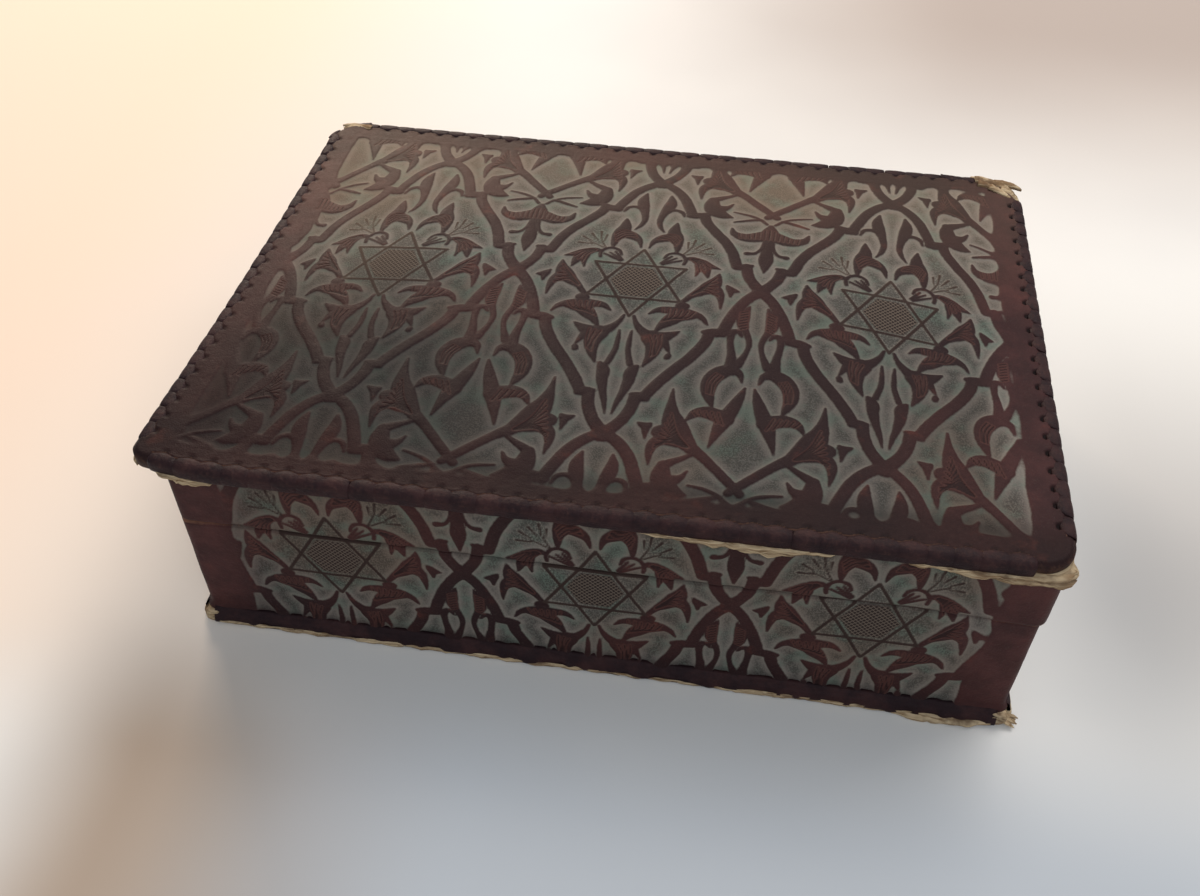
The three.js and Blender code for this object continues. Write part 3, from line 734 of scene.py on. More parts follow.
class Parts:
    """Gathers closed shapes into one mesh, with values per point."""

    def __init__(self):
        self.points, self.faces, self.facts, self.count = [], [], {}, 0

    def add(self, points, faces, **facts):
        points = np.asarray(points, float).reshape(-1, 3)
        self.points.append(points)
        self.faces += [[int(i) + self.count for i in face] for face in faces]
        for key, values in facts.items():
            self.facts.setdefault(key, []).append(np.asarray(values, float).reshape(-1))
        self.count += len(points)

    def build(self, name, material):
        facts = {key: np.concatenate(values) for key, values in self.facts.items()}
        return add_mesh(name, np.vstack(self.points), self.faces, material, facts)


def tube_faces(rings, around):
    """Quads along rings of points, with the two ends closed."""
    faces = grid_faces(rings, around, wrap=True).tolist()
    faces.append(list(range(around))[::-1])
    faces.append(list(range((rings - 1) * around, rings * around)))
    return faces


# Lid slab

board_low, board_high = node_box("lid_board")
under_low, under_high = node_box("lid_under_board")
lace_low, lace_high = node_box("lid_lacing_right")
slab = np.array((lace_high[0], node_box("lid_lacing_back")[1][1]))
band_low, band_high = node_box("lid_leather_band")
body_low, body_high = node_box("base_leather_band")

TOP_LEATHER = 1.6
CROWN_HEIGHT = 1.6
CROWN_START = 11
CROWN_RUN = 44
FIELD = {"left": -116.5, "right": 115.2, "front": -81.6, "back": 80.6}
LEATHER_CORNERS = {"front_left": 3.6, "front_right": 9, "back_right": 17, "back_left": 11}
BOARD_CORNERS = {"front_left": 8, "front_right": 7.5, "back_right": 4, "back_left": 4}
LEATHER_CELL = 0.5

# How far the real front left corner of the slab has spread out, and how it is blunted
SPLAY_LEFT = 5.4
SPLAY_FRONT = 2.6
BLUNT_START = -98
BLUNT_RUN = 29
BLUNT_DEPTH = 4.0

# Where parts of the plate came out on the lid: (across, up) on the plate, (x, y) on the lid. The lid places
# in the first row, the stars, are rounded results of the camera's fit. The others were read one by one.
STAMPED = np.array([
    (-79.2, 0, -80.6, 6.0), (0, 0, -1.2, 8.9), (79.2, 0, 79.4, 3.6),
    (-79.2, 60, -76.7, 68.2), (0, 60, .5, 66.5), (79.2, 60, 81.3, 66),
    (-79.2, -67, -79.5, -57.3), (0, -67, -1, -61), (79.2, -67, 76.8, -62.9),
    (-39.6, .5, -40.3, 9.3), (39.6, .5, 38.6, 9.3), (-118.8, .5, -116.5, 3), (118.8, .5, 117, -2),
    (-39.6, -84.6, -41, -75.7), (39.6, -84.6, 36.8, -75.9),
])
STAMP_STIFFNESS = 100


def splayed(x, y):
    """The slab's plan, drawn out and blunted at the front left corner."""
    share = np.clip((slab[0] - x) / (2 * slab[0]), 0, 1) * np.clip((slab[1] - y) / (2 * slab[1]), 0, 1)
    blunt = BLUNT_DEPTH * np.clip((BLUNT_START - x) / BLUNT_RUN, 0, 1) ** 2 * ease(-40, -88, y)
    return x - SPLAY_LEFT * share ** 2, y - SPLAY_FRONT * share + blunt


def stamp_map():
    """A smooth map from a place on the lid to the plate, through the places in STAMPED."""
    places, targets = STAMPED[:, 2:], STAMPED[:, :2]

    def bend(distance):
        return distance ** 2 * np.log(distance + 1e-9)

    count = len(places)
    spread = np.linalg.norm(places[:, None] - places[None], axis=-1)
    flat = np.c_[np.ones(count), places]
    system = np.zeros((count + 3, count + 3))
    system[:count, :count] = bend(spread) + np.eye(count) * STAMP_STIFFNESS
    system[:count, count:] = flat
    system[count:, :count] = flat.T
    weights = np.linalg.solve(system, np.vstack([targets, np.zeros((3, 2))]))

    def find(x, y):
        result = weights[count] + x[..., None] * weights[count + 1] + y[..., None] * weights[count + 2]
        for place, weight in zip(places, weights):
            result = result + bend(np.hypot(x - place[0], y - place[1]))[..., None] * weight
        return result[..., 0], result[..., 1]
    return find


def crown(inset):
    """Rise of the padded lid at a distance inside its edge."""
    run = np.clip((inset - CROWN_START) / CROWN_RUN, 0, 1)
    return CROWN_HEIGHT * (1 - (1 - run) ** 2)


def round_corners(x, y, half, corners):
    """Draws a rectangular grid in so that its corners become round, with no folded faces."""
    x, y = x.copy(), y.copy()
    for name, radius in corners.items():
        sx = 1 if "right" in name else -1
        sy = 1 if "back" in name else -1
        a = (sx * x - (half[0] - radius)) / radius
        b = (sy * y - (half[1] - radius)) / radius
        inside = (a > 0) & (b > 0)
        a, b = np.clip(a, 0, 1), np.clip(b, 0, 1)
        round_x = sx * (half[0] - radius + radius * a * np.sqrt(1 - b * b / 2))
        round_y = sy * (half[1] - radius + radius * b * np.sqrt(1 - a * a / 2))
        x, y = np.where(inside, round_x, x), np.where(inside, round_y, y)
    return x, y


def edge_drop(x, y, half, corners):
    """How far each place lies inside a rectangle with rounded corners."""
    inset = np.minimum(half[0] - np.abs(x), half[1] - np.abs(y))
    for name, radius in corners.items():
        a = (1 if "right" in name else -1) * x - (half[0] - radius)
        b = (1 if "back" in name else -1) * y - (half[1] - radius)
        inset = np.where((a > 0) & (b > 0), radius - np.hypot(a, b), inset)
    return inset


# Lacing

STITCH_PITCH = 6.8
HOLE_INSET = 4.7
HOLE_HALF_LENGTH = 1.15
HOLE_HALF_WIDTH = 0.75
HOLE_OPEN = {"front": 0.35, "right": 1.0, "back": 0.35, "left": 0.45}
LIP_BULGE = 1.3
SKIRT_THICKNESS = 0.75
LACING_END = {"front_left": 7.5, "front_right": 12, "back_right": 14, "back_left": 10}
SIDES = {
    "front": ((0, -1), (1, 0), "front_left", "front_right"),
    "right": ((1, 0), (0, 1), "front_right", "back_right"),
    "back": ((0, 1), (-1, 0), "back_right", "back_left"),
    "left": ((-1, 0), (0, -1), "back_left", "front_left"),
}


def side_place(side, along, outward, half):
    """Plan place at a distance along a side and a distance past its edge."""
    out, run, _, _ = SIDES[side]
    reach = half[1] if out[0] == 0 else half[0]
    x = out[0] * (reach + outward) + run[0] * along
    y = out[1] * (reach + outward) + run[1] * along
    return x, y


def stitch_places(side):
    """Distance along the side of each stitch's middle, a little uneven as by hand."""
    _, run, first, last = SIDES[side]
    half_length = slab[0] if run[0] else slab[1]
    start = -half_length + LACING_END[first]
    end = half_length - LACING_END[last]
    count = max(1, round((end - start) / STITCH_PITCH))
    places = start + (np.arange(count) + 0.5) * (end - start) / count
    rng = np.random.default_rng(SEED + len(side))
    return places + rng.uniform(-0.45, 0.45, count), (end - start) / count


def lacing_lip(x, y):
    """How far each place lies outside the leather's lip, which bulges out between the holes, and
    how much it is in a hole. Sides share one field, so each takes the places nearest to it."""
    outside = np.full_like(x, -9.0)
    hole = np.zeros_like(x)
    for side, (out, run, _, _) in SIDES.items():
        places, pitch = stitch_places(side)
        reach = slab[1] if out[0] == 0 else slab[0]
        inset = reach - (x * out[0] + y * out[1])
        along = x * run[0] + y * run[1]
        near = inset < 9
        gap = np.abs(along[near][:, None] - places[None, :])
        nearest = gap.min(axis=1)
        row = (along[near] > places.min() - pitch / 2) & (along[near] < places.max() + pitch / 2)
        bulge = LIP_BULGE * np.sin(np.clip(nearest / (pitch / 2), 0, 1) * math.pi / 2)
        beyond = np.where(row, HOLE_INSET - 0.2 - bulge - inset[near], -9.0)
        outside[near] = np.maximum(outside[near], beyond)
        oval = np.hypot(nearest / HOLE_HALF_LENGTH, (inset[near] - HOLE_INSET) / HOLE_HALF_WIDTH)
        hole[near] = np.maximum(hole[near], ease(1.35, 0.75, oval) * HOLE_OPEN[side])
    return outside, hole


def outline_of_grid(rows, columns):
    """The numbers of the grid's edge points, going round it once."""
    return np.concatenate([
        np.arange(columns), (np.arange(1, rows) * columns) + columns - 1,
        (rows - 1) * columns + np.arange(columns - 2, -1, -1), np.arange(rows - 2, 0, -1) * columns,
    ])


def lid_marks(x, y, outside, rim_drop):
    """Where the lid's leather is rubbed, faded and reddened, and where it carries painted light: painted
    shade that darkens it towards the front and front left, and a painted sheen that makes it paler and
    warmer at the back and left. Places are millimetres from the lid's middle, and the front left is the
    most handled part."""
    lip = ease(-0.7, -0.15, outside) * ease(0.5, 0.1, outside)
    front_edge = ease(-70, -84, y)
    wear = 0.5 * ease(2.6, 0.0, rim_drop) + lip * (0.35 + 0.4 * front_edge)
    fade = 0.7 * ease(-84, -114, x) * ease(10, -70, y) + 0.5 * ease(-104, -116, x)
    # Painted shade: a little more fading over the lid's front left, which turns its ground darker and
    # redder.
    fade += 0.15 * ease(-20, -90, x) * ease(0, -60, y)
    fade += 0.5 * ease(100, 114, x) * ease(-60, -80, y)
    # Painted shade: darker towards the front, over the front left and along the front edge, less at the
    # side margins.
    painted_shade = 0.78 * ease(0, -80, x) * ease(20, -50, y) + ease(-72, -84, y) + 0.4 * ease(40, -40, y)
    painted_shade -= 0.5 * ease(102, 114, x) + 0.3 * ease(-106, -116, x)
    flush = 0.6 * ease(104, 114, x) * ease(-84, -60, y) + 0.6 * ease(-106, -116, x) * ease(-70, 20, y)
    # Painted sheen: paler and warmer towards the back and over the left.
    painted_sheen = 0.7 * ease(0, 84, y) + 0.4 * ease(-50, -110, x) * ease(-70, 10, y)
    return {"wear": wear, "fade": np.clip(fade, 0, 1), "painted_shade": np.clip(painted_shade, 0, 1),
            "painted_sheen": painted_sheen, "flush": flush}


def turned_edge(rim):
    """Rings of points that take the leather down over the board and up again inside its thickness."""
    toward = (rim.mean(axis=0) - rim)[:, :2]
    toward /= np.linalg.norm(toward, axis=1)[:, None]
    foot_z = board_low[2] + 0.3 + 0.25 * value_noise(rim[:, 0], rim[:, 1], 3.5, SEED + 4)
    foot_z -= 1.3 * ease(-106, -120, rim[:, 0]) * ease(-70, -86, rim[:, 1])
    rings = []
    for depth, z_ring in ((-0.12, (rim[:, 2] + foot_z) / 2), (0.0, foot_z),
                          (SKIRT_THICKNESS, foot_z), (SKIRT_THICKNESS, board_high[2] + 0.06)):
        ring = rim.copy()
        ring[:, :2] += toward * depth
        ring[:, 2] = z_ring
        rings.append(ring)
    return rings


def lid_leather(material):
    """The embossed sheet: its surface, its edge turned down over the board, and its flat underside."""
    half = np.array((board_high[0], board_high[1]))
    columns = round(2 * half[0] / LEATHER_CELL) + 1
    rows = round(2 * half[1] / LEATHER_CELL) + 1
    x, y = np.meshgrid(np.linspace(-half[0], half[0], columns), np.linspace(-half[1], half[1], rows))
    x, y = round_corners(x, y, half, LEATHER_CORNERS)
    inset = np.minimum(half[0] - np.abs(x), half[1] - np.abs(y))
    border = np.minimum.reduce([
        x - FIELD["left"], FIELD["right"] - x, y - FIELD["front"], FIELD["back"] - y,
    ]) + 0.5 * value_noise(x, y, 9)
    across, up = stamp_map()(x, y)
    height, facts = emboss(across, up, border)
    height = np.where(border < -1, height * 0.6, height)
    z = board_high[2] + TOP_LEATHER + crown(inset) + height
    z += 0.25 * value_noise(x, y, 34) + 0.08 * value_noise(x, y, 8, SEED + 1)
    outside, hole = lacing_lip(x, y)
    z -= 0.35 * ease(-0.25, 0.25, outside) + 0.8 * hole
    z += 0.18 * ease(-1.2, -0.3, outside) * ease(0.2, -0.3, outside)
    rim_drop = edge_drop(x, y, half, LEATHER_CORNERS)
    z -= 1.1 * ease(2.0, 0, rim_drop) ** 2
    sx, sy = splayed(x, y)
    top = np.stack([sx, sy, z], -1)
    facts.update(lid_marks(x, y, outside, rim_drop), hole=hole)

    edge = outline_of_grid(rows, columns)
    rings = turned_edge(top.reshape(-1, 3)[edge])
    points = np.vstack([top.reshape(-1, 3)] + rings)
    count = rows * columns
    faces = grid_faces(rows, columns).tolist()
    ring = len(edge)
    turn = np.roll(np.arange(ring), -1)
    upper = edge
    for level in range(len(rings)):
        lower = count + level * ring + np.arange(ring)
        faces += np.stack([upper[turn], upper, lower, lower[turn]], -1).tolist()
        upper = lower
    faces.append(upper[::-1].tolist())

    facts = extended(facts, np.tile(edge, len(rings)), {"raised_far": -4.0, "wear": 0.55})
    piece = add_mesh("lid_leather_sheet", points, faces, material, facts)
    finish_piece(piece, "lid", "lid_top_leather")


def lid_wadding(material):
    """The thin pad under the lid leather, a low crowned pillow."""
    low, high = node_box("lid_padding")
    half = high[:2] - 1.0
    columns, rows = 60, 44
    x, y = np.meshgrid(np.linspace(-1, 1, columns), np.linspace(-1, 1, rows))
    gx, gy = round_corners(x * half[0], y * half[1], half, {name: 14 for name in BOARD_CORNERS})
    edge = np.minimum(half[0] - np.abs(gx), half[1] - np.abs(gy))
    lift = (high[2] - low[2] - 0.75) * ease(-2, 34, edge)
    sx, sy = splayed(gx, gy)
    top = np.stack([sx, sy, low[2] + 0.12 + lift], -1).reshape(-1, 3)
    bottom = top.copy()
    bottom[:, 2] = low[2] + 0.02
    count = rows * columns
    faces = grid_faces(rows, columns).tolist()
    faces += grid_faces(rows, columns, first=count)[:, ::-1].tolist()
    edge = outline_of_grid(rows, columns)
    turn = np.roll(edge, -1)
    faces += np.stack([turn, edge, edge + count, turn + count], -1).tolist()
    piece = add_mesh("lid_wadding_pad", np.vstack([top, bottom]), faces, material)
    finish_piece(piece, "lid", "lid_padding")


def slab_outline(half, corners, spacing):
    """Plan points round a slab with rounded corners, and each point's outward direction."""
    points, outs = [], []
    order = [("front_right", 1, -1, -90), ("back_right", 1, 1, 0),
             ("back_left", -1, 1, 90), ("front_left", -1, -1, 180)]
    for index, (name, sx, sy, start) in enumerate(order):
        radius = corners[name]
        centre = np.array((sx * (half[0] - radius), sy * (half[1] - radius)))
        for step in range(9):
            angle = math.radians(start + step * 90 / 8)
            out = np.array((math.cos(angle), math.sin(angle)))
            points.append(centre + radius * out)
            outs.append(out)
        following, fx, fy, _ = order[(index + 1) % 4]
        radius = corners[following]
        angle = math.radians(start + 90)
        out = np.array((math.cos(angle), math.sin(angle)))
        target = np.array((fx * (half[0] - radius), fy * (half[1] - radius))) + radius * out
        length = np.linalg.norm(target - points[-1])
        steps = max(1, int(length / spacing))
        begin = points[-1]
        for step in range(1, steps):
            points.append(begin + (target - begin) * step / steps)
            outs.append(out)
    return np.array(points), np.array(outs)


def layered_plate(parts, half, corners, low, high, layers, ragged, seed, warp=splayed):
    """A board whose edge shows its layers: each sets in or out a little from the next."""
    points, outs = slab_outline(half, corners, 1.3)
    count = len(points)
    along = np.cumsum(np.linalg.norm(np.diff(points, axis=0, prepend=points[:1]), axis=1))
    rings = []
    for level in range(2 * layers):
        share = (level // 2 + (0.06 if level % 2 == 0 else 0.94)) / layers
        push = ragged * edge_noise(along, 3.7 * (level // 2) * 5, 4, seed)
        push += 0.5 * ragged * edge_noise(along, 2.3 * (level // 2) * 5, 1.6, seed)
        place = points + outs * push[:, None]
        x, y = warp(place[:, 0], place[:, 1])
        rings.append(np.stack([x, y, np.full(count, low + (high - low) * share)], -1))
    parts.add(np.vstack(rings), tube_faces(len(rings), count))


def torn_ply(parts, side, start, end, low, high, depth_in, depth_out, half, seed, droop, warp=splayed):
    """A thin torn layer of board along an edge, with a ragged outer lip."""
    steps = max(6, int((end - start) / 1.1))
    along = np.linspace(start, end, steps)
    fade = np.sin(np.linspace(0, math.pi, steps)) ** 0.35
    lip = depth_out + 0.7 * edge_noise(along, seed * 3, 3.0, seed)
    lip += 0.35 * edge_noise(along, seed * 7, 1.2, seed)
    sag = droop * fade * (0.75 + 0.35 * edge_noise(along, seed, 6, seed))
    rings = []
    for index in range(steps):
        inner = -depth_in
        outer = -depth_in + (depth_in + lip[index]) * fade[index]
        mid = (inner + outer) / 2
        thick = high - low
        drop = sag[index]
        section = [
            (inner, high), (mid, high - 0.25 * drop), (outer, high - drop),
            (outer + 0.12, high - drop - thick * 0.5), (outer, high - drop - thick),
            (mid, high - thick - 0.3 * drop), (inner, high - thick),
        ]
        for outward, z in section:
            x, y = warp(*side_place(side, along[index], outward, half))
            rings.append((x, y, z))
    parts.add(rings, tube_faces(steps, len(section)))


# Cross section of a frayed strip, as shares of its half width and half thickness
STRIP_SECTION = [(-1, 0), (-.6, 1), (0, 1.2), (.6, 1), (1, 0), (.6, -1), (0, -1.2), (-.6, -1)]


def curled_strip(parts, start, heading, length, width, thickness, turn, climb, seed, **facts):
    """A frayed strip that leaves start along heading (in plan, degrees), turning and climbing."""
    steps = 12
    rng = np.random.default_rng(seed)
    place = np.array(start, float)
    angle = math.radians(heading)
    rings = []
    for index in range(steps):
        share = index / (steps - 1)
        ahead = np.array((math.cos(angle), math.sin(angle), 0))
        beside = np.array((-math.sin(angle), math.cos(angle), 0))
        half = width / 2 * (1 - 0.8 * share ** 3) * rng.uniform(0.82, 1.15)
        tall = thickness / 2 * (1 - 0.6 * share ** 2)
        for across, up in STRIP_SECTION:
            rings.append(place + beside * across * half + np.array((0, 0, up * tall)))
        place = place + ahead * length / steps
        place[2] += climb / steps * (1 + rng.uniform(-0.8, 0.8))
        angle += math.radians(turn) / steps * (1 + rng.uniform(-0.6, 0.6))
    facts = {key: np.full(len(rings), value) for key, value in facts.items()}
    parts.add(rings, tube_faces(steps, len(STRIP_SECTION)), **facts)


# Torn layers under the lid: side, start and end along it, depth of top and bottom below the board's
# underside, reach in and out, droop
TORN_PLIES = [
    ("front", 10, 68, -0.5, 0.5, 2.2, 0.7, 0.5),
    ("front", 18, 66, 0.5, 1.3, 2.4, 0.5, 0.8),
    ("front", 38, 56, 1.3, 2.1, 2.4, 0.35, 1.3),
    ("front", 82, 126, -0.4, 0.6, 2.4, 0.7, 0.5),
    ("front", 92, 126, 0.6, 1.6, 2.4, 0.5, 0.8),
    ("front", 106, 127, 1.6, 2.7, 2.4, 0.4, 1.1),
    ("front", -120, -106, -0.6, 0.4, 2.6, 0.5, 0.5),
    ("front", -118, -102, 0.4, 1.1, 2.4, 0.3, 1.3),
    ("right", -90, -80, 0.1, 0.9, 2.4, 0.3, 0.7),
    ("left", 80, 90, 0.0, 0.7, 2.4, 0.3, 0.9),
]
# Frayed strips at the corners: start, heading, length, width, thickness, turn, climb
FRAYED_STRIPS = [
    ((111, 88.4, 75.2), 2, 16, 4.4, 2.0, -66, -0.8), ((110, 90.0, 74.2), 6, 18, 3.6, 1.8, -84, -0.8),
    ((112, 86.2, 75.5), -10, 14, 4.0, 1.8, -50, -1.2), ((118, 88.0, 74.8), 8, 11, 4.0, 1.8, -76, -0.2),
    ((117, 90, 73.0), 24, 10, 3.0, 1.5, -70, 0.4), ((120, 84, 75.0), -24, 9, 4.0, 1.7, -50, -1.6),
    ((116, 84, 75.8), -30, 10, 3.4, 1.4, -20, -1.0),
    ((116, -88.5, 70.4), -28, 10, 3.6, 1.6, 50, -1.0), ((114, -89, 69.8), -22, 12, 3.0, 1.5, 46, -1.2),
    ((120, -86.5, 71.2), -30, 8, 3.4, 1.6, 60, -0.6), ((118, -87.5, 69.4), -38, 9, 2.8, 1.4, 70, -1.6),
    ((-113, 87.6, 74.8), 168, 12, 3.6, 1.5, 38, -0.5), ((-116, 89, 73.8), 160, 10, 3.0, 1.4, 50, 0.2),
    ((-117, -86, 70.6), 215, 7, 3.2, 1.3, -30, -0.6), ((-115, -87, 70.2), 235, 7, 3.0, 1.3, 30, -1.0),
]


def lid_boards(material):
    """The upper board, and the lower one with its torn plies and frayed strips."""
    half = board_high[:2]
    inner_corners = {name: radius + 3 for name, radius in BOARD_CORNERS.items()}
    upper = Parts()
    layered_plate(upper, half - 1.1, inner_corners, board_low[2] + 0.02, board_high[2] - 0.02, 4, 0.2, 11)
    piece = upper.build("lid_layered_board", material)
    finish_piece(piece, "lid", "lid_board")

    lower = Parts()
    layered_plate(lower, half - 0.1, BOARD_CORNERS, under_low[2] + 0.02, under_high[2] + 0.1, 3, 0.4, 12)
    hang = under_low[2] + 0.02
    for index, (side, start, end, top, bottom, inner, outer, droop) in enumerate(TORN_PLIES):
        torn_ply(lower, side, start, end, hang - bottom, hang - top, inner, outer, slab, 20 + index, droop)
    for index, strip in enumerate(FRAYED_STRIPS):
        curled_strip(lower, *strip, 60 + index)
    piece = lower.build("lid_torn_under_board", material)
    finish_piece(piece, "lid", "lid_under_board")


# One stitch, from its hole over the edge and under it: distance past the edge, height share
# between the slab's underside and top, width share, thickness share
STITCH_PATH = [
    (-4.75, 0.76, 0.35, 0.4), (-4.4, 0.84, 0.55, 0.7), (-3.8, 0.895, 0.8, 0.9),
    (-2.8, 0.91, 0.95, 1.0), (-1.6, 0.895, 1.0, 1.0), (-0.7, 0.84, 1.0, 1.0),
    (-0.2, 0.74, 1.0, 1.0), (0.02, 0.58, 1.0, 1.0), (0.05, 0.35, 1.0, 1.0),
    (-0.12, 0.14, 0.98, 1.0), (-0.7, 0.02, 0.94, 1.0), (-1.9, 0.0, 0.86, 0.9),
    (-2.7, 0.05, 0.7, 0.7),
]
STITCH_SECTION = 12
STITCH_THICKNESS = 0.62
STITCH_FLATNESS = 0.6
STITCH_OVERLAP = {"front": 1.16, "right": 1.06, "back": 1.08, "left": 1.06}
# Loose ends of the thong: start, heading, length, width, thickness, turn, climb
LOOSE_ENDS = {
    "back": [
        ((99, 89.0, 75.1), -3, 13, 3.2, 1.1, 8, -0.6), ((-114, 89.8, 74.8), 175, 7, 2.6, 1.1, 30, -0.6),
    ],
    "left": [((-126.0, 79, 74.6), 88, 7, 2.6, 1.1, -20, -0.6)],
}
STITCH_SLANT = {"front": 0.5, "right": 1.5, "back": 1.0, "left": 1.2}


def lid_lacing(side, material):
    """The thong's stitches along one side, flat strips that lie close together."""
    places, pitch = stitch_places(side)
    rng = np.random.default_rng(SEED * 3 + len(side))
    parts = Parts()
    path = np.array(STITCH_PATH)
    low_z, high_z = lace_low[2], lace_high[2]
    tangent = np.gradient(path[:, :2] * (1, high_z - low_z), axis=0)
    tangent /= np.linalg.norm(tangent, axis=1)[:, None]
    normal = np.stack([-tangent[:, 1], tangent[:, 0]], -1)
    for along in places:
        width = pitch * 0.5 * STITCH_OVERLAP[side] * rng.uniform(0.96, 1.04)
        slant = STITCH_SLANT[side] + rng.uniform(-0.3, 0.3)
        swell = rng.uniform(0.85, 1.1)
        sink = rng.uniform(0.0, 0.14)
        rings, crest = [], []
        for index, (outward, share, wide, thick) in enumerate(path):
            centre_z = low_z + (high_z - low_z) * share
            lean = slant * (0.5 - index / (len(path) - 1))
            for step in range(STITCH_SECTION):
                angle = 2 * math.pi * step / STITCH_SECTION
                wave = math.cos(angle)
                rise = math.copysign(abs(math.sin(angle)) ** STITCH_FLATNESS, math.sin(angle))
                across = math.copysign(abs(wave) ** STITCH_FLATNESS, wave) * width * wide
                lift = rise * STITCH_THICKNESS * 0.5 * thick * swell
                lift += 0.12 * (1 - (across / width) ** 2) - sink - STITCH_THICKNESS * 0.5
                outer = outward + normal[index][0] * lift
                z = centre_z + normal[index][1] * lift
                x, y = side_place(side, along + lean + across, outer, slab)
                x, y = splayed(x, y)
                rings.append((x, y, z))
                # The outer face of each stitch gets a share of rubbed wear and painted highlight.
                crest.append(max(0.0, rise) * (0.75 if 1 < index < 8 else 0.3))
        parts.add(rings, tube_faces(len(path), STITCH_SECTION), crest=crest)
    for index, strip in enumerate(LOOSE_ENDS.get(side, [])):
        # Loose ends get some rubbed wear and painted highlight.
        curled_strip(parts, *strip, 40 + index, crest=0.4)
    piece = parts.build(f"lid_thong_{side}", material)
    finish_piece(piece, "lid", f"lid_lacing_{side}")


# Leather bands round the walls

BAND_CORNER = 2.5
BAND_BACKING = 1.7
BAND_CELL = 0.6
LIP = 0.9
# The stars' height and pitch on the front are rounded results of the camera's fit
FRONT_STAR_HEIGHT = 40.0
FRONT_STAR_PITCH = 78.3
FRONT_STAR_SCALE = 2 * HALF_PITCH / FRONT_STAR_PITCH
FRONT_SAG = 1.4
RIGHT_SAG = 0.3
BAND_MARGIN = {"front": (15.5, 12.5), "right": (10, 10), "back": (12, 12), "left": (10, 10)}
PROUD_RIGHT = 1.1
FOOT_FLARE = 1.3
FLARE_RUN = 3.4


def band_outline(half):
    """Points round the band, with outward directions, the side and the distance along it."""
    places, outs, names, alongs = [], [], [], []
    for name, (out, run, _, _) in SIDES.items():
        reach = half[1] if out[0] == 0 else half[0]
        length = half[0] if out[0] == 0 else half[1]
        flat = length - BAND_CORNER
        steps = int(2 * flat / BAND_CELL)
        for along in np.linspace(-flat, flat, steps):
            places.append((out[0] * reach + run[0] * along, out[1] * reach + run[1] * along))
            outs.append(out)
            names.append(name)
            alongs.append(along)
        for step in range(1, 6):
            angle = math.radians(90 * step / 6)
            turn = (out[0] * math.cos(angle) + run[0] * math.sin(angle),
                    out[1] * math.cos(angle) + run[1] * math.sin(angle))
            centre = (out[0] * (reach - BAND_CORNER) + run[0] * flat,
                      out[1] * (reach - BAND_CORNER) + run[1] * flat)
            places.append((centre[0] + BAND_CORNER * turn[0], centre[1] + BAND_CORNER * turn[1]))
            outs.append(turn)
            names.append(name)
            alongs.append(flat + BAND_CORNER * angle)
    return np.array(places), np.array(outs), np.array(names), np.array(alongs)


def band_marks(x, y, z, across, half, to_edge, to_seam, flare):
    """Where a band's leather is rubbed, faded and reddened, most at its seam and corners, and where
    painted shade fades its front face and darkens it near the foot and under the lid's edge.
    """
    corner = ease(34, 4, np.minimum(np.abs(half[0] - np.abs(across)), 60))
    upright = ease(3.2, 0.4, half[0] - np.abs(x)) * ease(3.2, 0.4, half[1] - np.abs(y))
    wear = ease(1.3, 0.2, to_seam) * (0.25 + 0.6 * corner[None, :]) + 0.35 * upright
    front_left = 0.35 * ease(-80, -112, x) * ease(-80, -86, y)
    at_foot = 0.8 * ease(3.4, 0.8, np.abs(z - body_low[2] + flare))
    # Painted shade: the front face is faded darker and redder, more to its left. The foot, the front left
    # corner and the edges fade too.
    fade = (0.2 + 0.3 * ease(-20, -110, x)) * ease(-86, -90, y)
    fade += at_foot + front_left + 0.4 * ease(1.4, 0.3, to_edge)
    # Painted shade: darker near the foot and under the lid's edge.
    painted_shade = 0.5 * ease(3.6, 0.4, z - body_low[2]) + 0.25 * ease(6, 0, band_high[2] - z)
    flush = 0.8 * ease(98, 116, across) + 0.8 * ease(-100, -116, across)
    clean = np.zeros_like(z)
    return {"wear": wear * 0.85, "hole": clean, "fade": np.clip(fade, 0, 1), "painted_shade": painted_shade,
            "painted_sheen": clean, "flush": np.tile(flush, (len(z), 1))}


